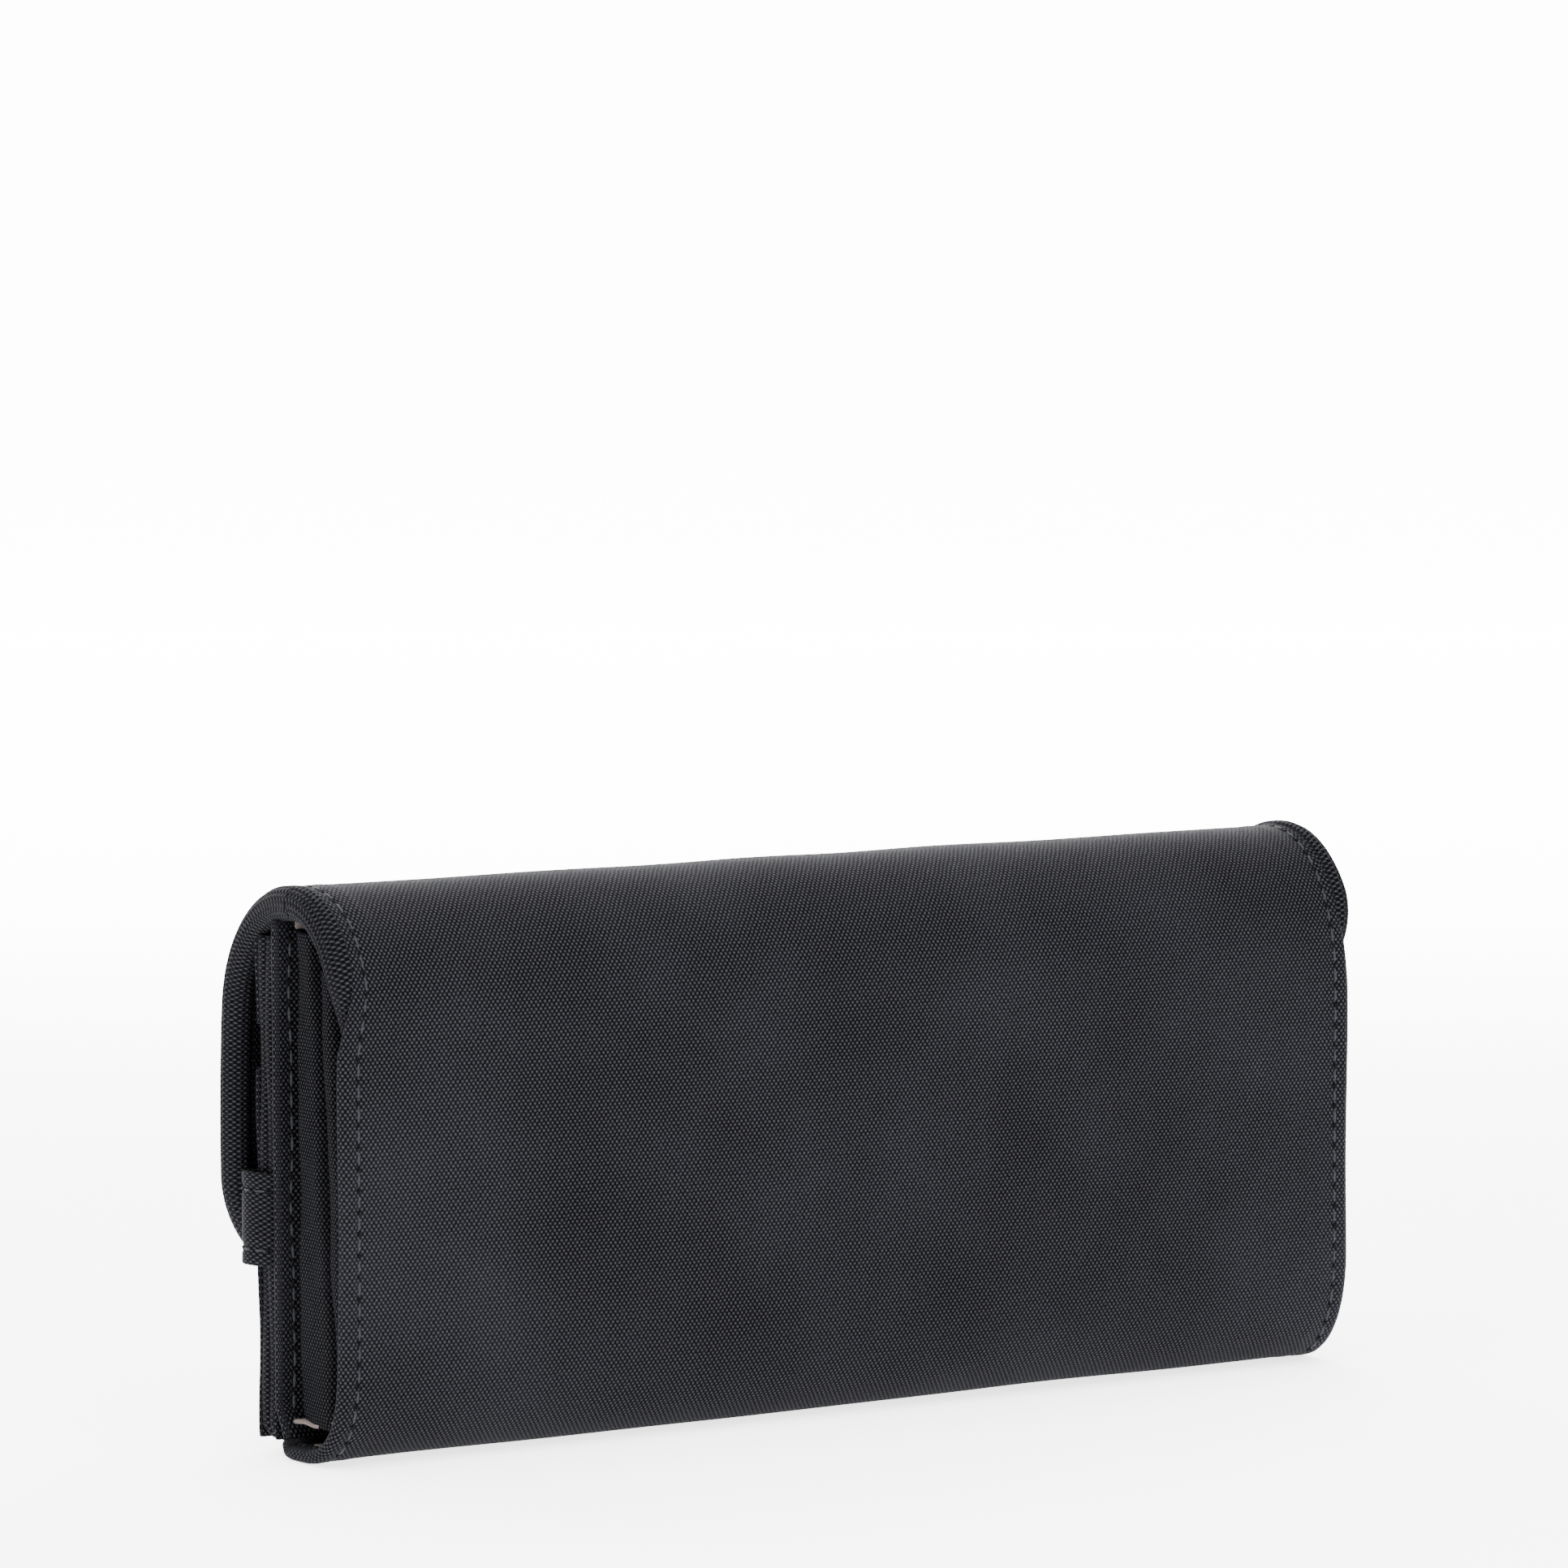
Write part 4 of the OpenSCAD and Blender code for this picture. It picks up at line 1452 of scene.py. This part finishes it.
@dataclass(frozen=True)
class PanelSpec:
    """A flat hemmed panel that stands in the body."""

    name: str
    node: str
    body: Body
    finish: ClothFinish
    slot: str
    thickness: float
    rests_on: str
    facing: int = -1
    wave: float = 0.15
    bulge: float = 0.0
    stitch_inset: float = 0.0
    flare_from: float = 0.0


@dataclass
class Panels:
    """Makes hemmed panels from the boxes of their CAD nodes."""

    shop: Workshop

    LEAST_CUT = 10.2

    def make(self, spec: PanelSpec, lo: Vector | None = None, hi: Vector | None = None) -> None:
        """Makes one panel.

        Args:
            spec: the panel.
            lo: lowest corner, if not the node's.
            hi: highest corner, if not the node's.
        """
        box = Box.of(spec.node)
        lo, hi = lo or box.lo, hi or box.hi
        half = (hi.x - lo.x) / 2
        xs = graded(half, 5, 0.5, 2.4)
        zs = (lo.z + hi.z) / 2 + graded((hi.z - lo.z) / 2, 4, 0.5, 2.0)
        x, z = np.meshgrid(xs, zs)
        edge = np.minimum(np.minimum(half - np.abs(x), z - lo.z), hi.z - z)
        soft = np.clip(edge / 6, 0, 1)
        hem = 0.18 * np.exp(-((edge - 3.4) / 0.8) ** 2)
        swell = spec.bulge * np.clip(edge / 12, 0, 1) ** 1.5
        y_face = lo.y if spec.facing < 0 else hi.y
        push = undulation(x, z, spec.wave, wave_phase(spec.name)) * soft - hem * 0.6 + swell
        grid = np.stack([x, y_face + spec.facing * push, z], -1)
        grid[..., 0] += np.sign(x) * 0.18 * np.sin(z / 4.3 + half) * np.exp(-edge)
        if spec.body is Body.FRONT:
            grid[..., 1] += flare(self.shop.sizes.half_w, x, z + spec.flare_from)
        sheet = ClothSheet(spec.name, grid, np.stack([x, z], -1), spec.thickness, flip=spec.facing > 0).obj
        self.shop.finish(sheet, spec.finish, spec.slot)
        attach(sheet, spec.body.value)
        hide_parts(spec.node)
        if spec.stitch_inset:
            line = np.linspace(-half + 4, half - 4, 200)
            points = np.stack([line, np.full(200, y_face), np.full(200, hi.z - spec.stitch_inset)], -1)
            up = np.tile([0.0, float(spec.facing), 0.0], (200, 1))
            obj = self.shop.stitches.sew(spec.name + "_stitches", points, up, 3.2, 2.1, 0.4, 0.5)
            self.shop.report(obj, "nylon")
            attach(obj, spec.body.value)


def wave_phase(name: str) -> float:
    """A fixed number from a name, so that panels have different waves.

    Args:
        name: name of the panel.

    Returns:
        The phase of its waves, in radians.
    """
    return sum(ord(c) * (k + 1) for k, c in enumerate(name)) % 628 / 100


@dataclass
class GussetedBody:
    """The gusseted body: front panel, pleated gussets, divider and card tiers."""

    shop: Workshop

    def front_panel(self) -> None:
        """Makes the front panel, thick at its hems, with its turned lower edge."""
        w, box = self.shop.sizes, Box.of("front_panel")
        cy, cz = self.shop.shape.corner
        half = w.half_w - 0.4
        turn = [(cy + 2.95 * math.cos(t), cz + 2.95 * math.sin(t))
                for t in np.radians(np.linspace(208, 180, 6))]
        line = Outline(turn + [(box.lo.y + 0.05, z) for z in np.linspace(cz + 0.4, box.hi.z, 60)])
        rows = np.linspace(0, line.length, 120)
        xs = graded(half, 7, 0.45, 2.2)
        x, s = np.meshgrid(xs, rows)
        inset = half - np.abs(x)
        push = undulation(x, s, 0.15, 2.2) * np.clip(inset / 6, 0, 1)
        flat, out = line.at(rows), line.normal(rows)
        sign = -1 if out[60][0] > 0 else 1
        point = flat[:, None, :] + sign * out[:, None, :] * push[..., None] * 0.5
        grid = np.concatenate([x[..., None], point], -1)
        grid[..., 1] += flare(w.half_w, x, grid[..., 2])
        hem = 0.12 * np.exp(-((inset - 1.0) / 1.0) ** 2)
        sheet = ClothSheet("front_panel_sheet", grid, np.stack([x, s], -1), 1.75 + hem)
        self.shop.finish(sheet.obj, NYLON, "nylon")
        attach(sheet.obj, Body.FRONT.value)
        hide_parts("front_panel", "front_foam")

    def pleats(self, name: str, side: Side, section: Callable[[float], Array], z0: float, z1: float,
               crossing: Crossing, nodes: Sequence[str], stitch_part: float) -> None:
        """Makes one gusset from a folded cross-section.

        Args:
            name: name of the piece.
            side: which end of the wallet.
            section: gives the (x, y) corners of the folds at a height.
            z0: lowest height.
            z1: highest height.
            crossing: the joint that it crosses, whose apply only bakes its transform.
            nodes: the CAD nodes that it stands for.
            stitch_part: where the stitch line runs across the first leaf, 0 for none.
        """
        zs = np.linspace(z0, z1, int((z1 - z0) / 1.1) + 1)
        rows, runs = [], []
        for z in zs:
            line = Outline([tuple(p) for p in section(z)])
            s = np.linspace(0, line.length, 46)
            p = line.at(s)
            kernel = np.array([1, 3, 5, 3, 1]) / 13
            q = np.concatenate([np.repeat(p[:1], 2, 0), p, np.repeat(p[-1:], 2, 0)])
            p = np.stack([np.convolve(q[:, k], kernel, "valid") for k in (0, 1)], -1)
            rows.append(p)
            runs.append(s)
        p = np.array(rows)
        z = np.repeat(zs[:, None], p.shape[1], 1)
        s = np.array(runs)
        wrinkle = 0.16 * np.sin(z / 5.7 + s / 3.1) + 0.1 * np.sin(z / 2.9 - s / 2)
        grid = np.stack([side.value * (p[..., 0] + wrinkle), p[..., 1], z], -1)
        sheet = ClothSheet(name, grid, np.stack([s, z], -1), 0.55, flip=side is Side.LEFT).obj
        # Painted shade: the gusset takes the darker copy of the nylon.
        self.shop.finish(sheet, SHADE_DARKENED_NYLON, "gusset_nylon")
        crossing.apply(sheet)
        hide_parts(*nodes)
        if stitch_part:
            column = int(stitch_part * p.shape[1])
            line = grid[:, column] + np.array([side.value * 0.1, 0, 0])
            up = np.tile([float(side.value), 0.0, 0.0], (len(line), 1))
            obj = self.shop.stitches.sew(name + "_stitches", line, up, 3.7, 2.5, 0.5, 0.8, seed=5)
            self.shop.report(obj, "gusset_nylon")
            crossing.apply(obj)

    def gussets(self) -> None:
        """Makes the four gusset pieces, two pleats at each end."""
        zs = np.array([9, 18, 29, 43, 56, 84, 92.0])
        end = self.shop.sizes.half_w
        first = np.array([9.0, 8.7, 6.9, 5.8, 5.4, 3.0, 2.4])
        second = np.array([10.4, 11.3, 11.3, 11.0, 10.3, 8.2, 7.6])
        front = Crossing(Body.DIVIDER, Body.FRONT, (0, 7.6, 40), (0, -2.6, 40))
        rear = Crossing(Body.BACK, Body.DIVIDER, (0, 12.4, 40), (0, 8.6, 40))

        def front_fold(z: float) -> Array:
            """The front pleat's folds.

            Args:
                z: the height.

            Returns:
                (n, 2) corners in x and y.
            """
            ridge = float(np.interp(z, zs, first))
            first_y = self.shop.sizes.front_y + 1.7 + float(flare(end, end, z))
            return np.array([(end - 1.5, first_y), (end - 3.4, first_y + 0.7), (end - 5.6, first_y + 2.0),
                             (end - 1.4, first_y + 4.2), (end - 0.5, ridge - 0.6), (end - 0.7, ridge + 0.3),
                             (end - 4, ridge + 0.7), (end - 8.7, max(ridge + 1.0, 7.2))])

        def rear_fold(z: float) -> Array:
            """The rear pleat's folds.

            Args:
                z: the height.

            Returns:
                (n, 2) corners in x and y.
            """
            ridge = float(np.interp(z, zs, second))
            valley = float(np.interp(z, zs, first)) + 1.4
            return np.array([(end - 8.7, 8.4), (end - 2.6, valley), (end - 1.3, valley + 0.4),
                             (end - 0.6, max(ridge - 0.3, valley + 0.8)), (end - 1.0, ridge + 0.6),
                             (end - 3, ridge + 0.9), (end - 8.2, 12.4)])

        for side in Side:
            label = side.name.lower()
            self.pleats(f"gusset_front_pleat_{label}", side, front_fold, 6.4, 90.2, front,
                        (f"gusset_front_{label}",), 0.05)
            self.pleats(f"gusset_rear_pleat_{label}", side, rear_fold, 10.5, 84, rear,
                        (f"gusset_rear_{label}",), 0.0)

    def build(self) -> None:
        """Makes every piece of the body."""
        self.front_panel()
        panels = Panels(self.shop)
        front, divider = Body.FRONT, Body.DIVIDER
        specs = [
            PanelSpec("front_lining_sheet", "front_lining", front, LINING, "lining", 0.5, "front_panel_sheet", 1),
            PanelSpec("passport_sleeve_sheet", "passport_sleeve", front, LINING, "lining", 0.7,
                      "front_lining_sheet", 1, stitch_inset=2.5),
            PanelSpec("divider_front_sheet", "divider_front_panel", divider, LINING, "lining", 1.3,
                      "divider_back_sheet"),
            PanelSpec("divider_back_sheet", "divider_back_panel", divider, LINING, "lining", 1.3,
                      "divider_front_sheet", 1),
        ]
        specs += [PanelSpec(f"card_tier_{k}_sheet", f"card_tier_{k}", divider, LINING, "lining", 0.72,
                            "divider_front_sheet", wave=0.04, stitch_inset=2.2) for k in range(1, 5)]
        for spec in specs:
            box = Box.of(spec.node)
            side = 1.6 if spec.body is front else 0.0
            up, rise = (4.0, 1.4) if spec.name == "front_lining_sheet" else (0.0, 0.0)
            panels.make(spec, box.lo + Vector((side, 0, up)), box.hi + Vector((-side, 0, rise)))
        self.gussets()
        box = Box.of("divider_binding")
        half_y, half_x = (box.hi.y - box.lo.y) / 2, box.hi.x
        path = np.linspace(-half_x, half_x, 160)
        z = box.hi.z - 1.4 + 0.1 * np.sin(path / 9)
        centres = np.stack([path, np.full(160, box.mid.y), z], -1)
        flat = np.tile([0.0, 1.0, 0.0], (160, 1))
        up = np.tile([0.0, 0.0, 1.0], (160, 1))
        tube = Tube("divider_top_binding", centres, flat, up, np.full(160, half_y), np.full(160, 1.4),
                    sides=40, ribs=8, rib_height=0.03, power=2.6).obj
        # Painted shade: the binding takes the darker copy of the nylon.
        self.shop.finish(tube, SHADE_DARKENED_NYLON, "gusset_nylon")
        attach(tube, divider.value)
        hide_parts("divider_binding")


@dataclass
class Pocket:
    """The zipped pocket in front of the front panel, with its stacked edges, zip and side loop."""

    shop: Workshop
    loop_forward: float = 2.3
    loop_hang: float = 1.2

    def edge_stack(self) -> None:
        """Makes the folded layers that show at the ends and along the bottom of the pocket."""
        box = Box.of("pocket_binding")
        half, low, top = box.hi.x + 0.3, box.lo.z, box.hi.z
        r = 3.0
        a = np.linspace(0, math.pi / 2, 14)
        right = [(half, z) for z in np.linspace(top, low + r, 110)]
        right += [(half - r + r * math.cos(t), low + r - r * math.sin(t)) for t in a[1:]]
        right += [(x, low) for x in np.linspace(half - r, 0, 60)[1:]]
        path = np.array(right + [(-x, z) for x, z in right[::-1][1:]])
        depth = box.hi.y - box.lo.y
        for k, (name, share) in enumerate((("pocket_edge_layer_front", 0.27), ("pocket_edge_layer_back", 0.73))):
            y = box.lo.y + depth * share
            centres = np.stack([path[:, 0], np.full(len(path), y), path[:, 1]], -1)
            centres[:, 0] += np.sign(centres[:, 0]) * (0.2 * np.sin(path[:, 1] / 6.1 + 2 * k))
            centres[:, 1] += flare(self.shop.sizes.half_w, centres[:, 0], centres[:, 2] + 9)
            along = unit(np.gradient(centres, axis=0))
            up = np.tile([0.0, 1.0, 0.0], (len(path), 1))
            tube = Tube(name, centres, unit(np.cross(along, up)), up, np.full(len(path), 0.95),
                        np.full(len(path), depth * 0.235), sides=28, power=2.5).obj
            self.shop.finish(tube, NYLON_EDGE, "nylon_band")
            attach(tube, Body.FRONT.value)
            if k == 0:
                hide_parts("pocket_binding")

    def panels(self) -> None:
        """Makes the two front panels and the back lining."""
        panels = Panels(self.shop)
        low, back = Box.of("pocket_lower_panel"), Box.of("pocket_back_lining")
        upper, wide = Box.of("pocket_upper_panel"), Vector((1.0, 0, 0))
        y = upper.lo.y
        panels.make(PanelSpec("pocket_back_sheet", "pocket_back_lining", Body.FRONT, NYLON, "nylon", 0.5,
                              "front_panel_sheet", flare_from=9), back.lo - wide, back.hi + wide)
        panels.make(PanelSpec("pocket_lower_sheet", "pocket_lower_panel", Body.FRONT, NYLON, "nylon", 0.8,
                              "pocket_edge_layer_front", bulge=y - low.lo.y, stitch_inset=2.0,
                              flare_from=9),
                    Vector((low.lo.x, y, low.lo.z)) - wide, Vector((low.hi.x, back.lo.y, low.hi.z)) + wide)
        panels.make(PanelSpec("pocket_upper_sheet", "pocket_upper_panel", Body.FRONT, NYLON, "nylon", 0.8,
                              "pocket_edge_layer_front"), upper.lo - wide, upper.hi + wide)
        for row in ("lower", "upper"):
            panels.make(PanelSpec(f"zip_tape_{row}_sheet", f"zip_tape_{row}", Body.FRONT, ZIP_TAPE, "zip_tape",
                                  0.45, f"pocket_{row}_sheet", wave=0.02))

    def loop(self) -> None:
        """Makes the side loop of folded nylon, with two lines of stitches across it."""
        box = Box.of("side_loop")
        r = (box.hi.y - box.lo.y) / 2
        cx, cy = box.hi.x - r + 0.4, box.mid.y - self.loop_forward
        a = np.radians(np.linspace(56, -180, 60))
        line = [(cx + r * math.cos(t), cy + r * math.sin(t)) for t in a]
        tab = line[-1]
        if tab[0] > box.lo.x + 0.5:
            line += [(x, tab[1]) for x in np.linspace(tab[0], box.lo.x, 3)[1:]]
        path = Outline(line)
        s = np.linspace(0, path.length, 80)
        p = path.at(s)
        zs = box.mid.z - self.loop_hang + graded((box.hi.z - box.lo.z) / 2 - 0.3, 4, 0.5, 0.8)
        grid = np.zeros((len(zs), len(s), 3))
        grid[..., 0], grid[..., 1] = p[None, :, 0], p[None, :, 1]
        grid[..., 2] = zs[:, None] + 0.25 * np.sin(s / 3.0)[None, :]
        edge = np.minimum(zs - zs[0], zs[-1] - zs)[:, None]
        out = np.concatenate([path.normal(s), np.zeros((len(s), 1))], -1)
        sign = np.sign(np.sum((p - [cx, cy]) * out[:, :2], -1).mean())
        seam = 0.3 * np.exp(-((edge - 2.6) / 0.7) ** 2)
        grid -= sign * out[None] * (0.1 + seam)[..., None]
        uv = np.stack([np.broadcast_to(s, grid.shape[:2]), np.broadcast_to(zs[:, None], grid.shape[:2])], -1)
        sheet = ClothSheet("side_loop_strap", grid, uv, 0.8, flip=True).obj
        self.shop.finish(sheet, NYLON_EDGE, "nylon_band")
        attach(sheet, Body.FRONT.value)
        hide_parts("side_loop")
        for label, z in (("low", zs[0] + 2.6), ("high", zs[-1] - 2.6)):
            seam_line = np.concatenate([p - sign * out[:, :2] * 0.3, np.full((len(s), 1), z)], -1)
            obj = self.shop.stitches.sew(f"side_loop_stitches_{label}", seam_line, sign * out, 3.0, 2.2, 0.45, 0.5)
            self.shop.report(obj, "nylon_band")
            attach(obj, Body.FRONT.value)

    def teeth(self) -> None:
        """Makes both rows of zip teeth."""
        maker = ZipTeethNodes(self.shop.finishes.get(COIL))
        for row, shift in (("lower", 0.0), ("upper", 0.5)):
            box = Box.of(f"zip_teeth_{row}")
            obj = maker.make(f"zip_teeth_{row}_row", box, shift, row == "lower")
            self.shop.report(obj, "zip_coil")
            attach(obj, Body.FRONT.value)
            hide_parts(f"zip_teeth_{row}")

    def build(self) -> None:
        """Makes every piece of the pocket, and gives the metal parts their finish."""
        self.edge_stack()
        self.panels()
        self.loop()
        self.teeth()
        metal = self.shop.finishes.get(GUNMETAL)
        for node in ("zip_stops", "zip_slider", "zip_puller", "snap_stud", "snap_post", "snap_cap", "snap_socket"):
            dress(bpy.data.objects[node], metal)
            log.info("%s: plated metal", node)


# ------------------------------------------------------------ the studio


@dataclass
class Studio:
    """Pale glowing sweep, soft lights and the camera."""

    azimuth: float = 145.0
    pitch: float = 4.66
    lens: float = 187.4
    eye: tuple[float, float, float] = (829.5, 1175, 228)
    glow_near: float = 2.6
    glow_far: float = 10.0

    def sweep(self) -> None:
        """Makes the floor, which curves up into the backdrop and glows: painted light that also lights the wallet,
        dimmer near it and brighter far behind it.
        """
        a = np.linspace(0, math.pi / 2, 13)
        arc = [(-2200 - 900 * math.sin(t), 900 - 900 * math.cos(t)) for t in a]
        line = [(1900.0, 0.0), (-2200.0, 0.0), *arc, (-3100.0, 4200.0)]
        turn = math.radians(self.azimuth)
        away = np.array([math.sin(turn), -math.cos(turn)])
        cross = np.array([-away[1], away[0]])
        points, faces = [], []
        for d, z in line:
            for w in (-3500.0, 3500.0):
                points.append((*(away * d + cross * w), z - 0.05))
        for k in range(len(line) - 1):
            faces.append((2 * k, 2 * k + 1, 2 * k + 3, 2 * k + 2))
        floor = write_mesh("studio_sweep", np.array(points), faces)
        material, tree, shader = new_material("Studio white")
        shader.inputs["Base Color"].default_value = (0.95, 0.95, 0.95, 1)
        shader.inputs["Roughness"].default_value = 0.9
        shader.inputs["Specular IOR Level"].default_value = 0.1
        place = tree.nodes.new("ShaderNodeNewGeometry")
        far = tree.nodes.new("ShaderNodeVectorMath")
        far.operation = "DOT_PRODUCT"
        far.inputs[1].default_value = (-math.sin(turn), math.cos(turn), 0)
        tree.links.new(place.outputs["Position"], far.inputs[0])
        # Painted light: the floor's emission, rising from glow_near by the wallet to glow_far behind it.
        glow = tree.nodes.new("ShaderNodeMapRange")
        glow.interpolation_type = "SMOOTHERSTEP"
        glow.inputs["From Min"].default_value = 0.12
        glow.inputs["From Max"].default_value = 1.3
        glow.inputs["To Min"].default_value = self.glow_near
        glow.inputs["To Max"].default_value = self.glow_far
        tree.links.new(far.outputs["Value"], glow.inputs["Value"])
        shader.inputs["Emission Color"].default_value = (1, 1, 1, 1)
        tree.links.new(glow.outputs["Result"], shader.inputs["Emission Strength"])
        dress(floor, material)
        floor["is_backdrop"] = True

    def light(self, name: str, azimuth: float, elevation: float, distance: float, size: tuple[float, float],
              watts: float) -> None:
        """Adds a soft light that points at the wallet.

        Args:
            name: its name.
            azimuth: angle round the wallet in degrees.
            elevation: angle above the floor in degrees.
            distance: in millimetres.
            size: width and height in millimetres.
            watts: its power.
        """
        data = bpy.data.lights.new(name, "AREA")
        data.shape = "RECTANGLE"
        data.size, data.size_y = size[0] * MM, size[1] * MM
        data.energy = watts
        lamp = bpy.data.objects.new(name, data)
        a, e = math.radians(azimuth), math.radians(elevation)
        target = Vector((0, 0, 50))
        place = target + distance * Vector((math.sin(a) * math.cos(e), -math.cos(a) * math.cos(e), math.sin(e)))
        look = (target - place).to_track_quat("-Z", "Y")
        lamp.matrix_world = Matrix.Translation(place * MM) @ look.to_matrix().to_4x4()
        bpy.context.scene.collection.objects.link(lamp)

    def camera(self) -> None:
        """Places the camera level with the wallet's top, looking slightly down."""
        data = bpy.data.cameras.new("Studio camera")
        data.lens = self.lens
        data.sensor_width = 36.0
        data.clip_end = 50.0
        camera = bpy.data.objects.new("Studio camera", data)
        a, p = math.radians(self.azimuth), math.radians(self.pitch)
        forward = Vector((-math.sin(a) * math.cos(p), math.cos(a) * math.cos(p), -math.sin(p)))
        look = forward.to_track_quat("-Z", "Y")
        camera.matrix_world = Matrix.Translation(Vector(self.eye) * MM) @ look.to_matrix().to_4x4()
        bpy.context.scene.collection.objects.link(camera)
        bpy.context.scene.camera = camera

    def build(self) -> None:
        """Sets up the whole studio."""
        self.sweep()
        world = bpy.data.worlds.new("Studio air")
        world.use_nodes = True
        world.node_tree.nodes["Background"].inputs["Color"].default_value = (1, 1, 1, 1)
        world.node_tree.nodes["Background"].inputs["Strength"].default_value = 0.5
        bpy.context.scene.world = world
        self.light("Top light", 145, 82, 1300, (1700, 1700), 74)
        self.light("Key light", 175, 38, 1500, (900, 900), 14)
        self.light("Side light", 95, 30, 1500, (800, 1000), 9)
        self.camera()


# ------------------------------------------------------------ putting it together


def plain_lists(sizes: object) -> object:
    """Turns vectors and tuples into plain lists.

    Args:
        sizes: a number, or numbers in dicts, vectors, tuples or lists.

    Returns:
        The same numbers in dicts and lists.
    """
    if isinstance(sizes, dict):
        return {k: plain_lists(v) for k, v in sizes.items()}
    if isinstance(sizes, (Vector, tuple, list, np.ndarray)):
        return [plain_lists(v) for v in sizes]
    return float(sizes) if isinstance(sizes, (int, float, np.floating)) else sizes


def main() -> None:
    """Builds every piece of the wallet, and the studio round it."""
    logging.basicConfig(level=logging.INFO, format="%(name)s: %(message)s")
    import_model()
    before = plain_lists(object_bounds())
    shop = Workshop()
    Shell(shop).build()
    GussetedBody(shop).build()
    Pocket(shop).build()
    Studio().build()
    after = plain_lists(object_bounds())


if __name__ == "__main__":
    main()
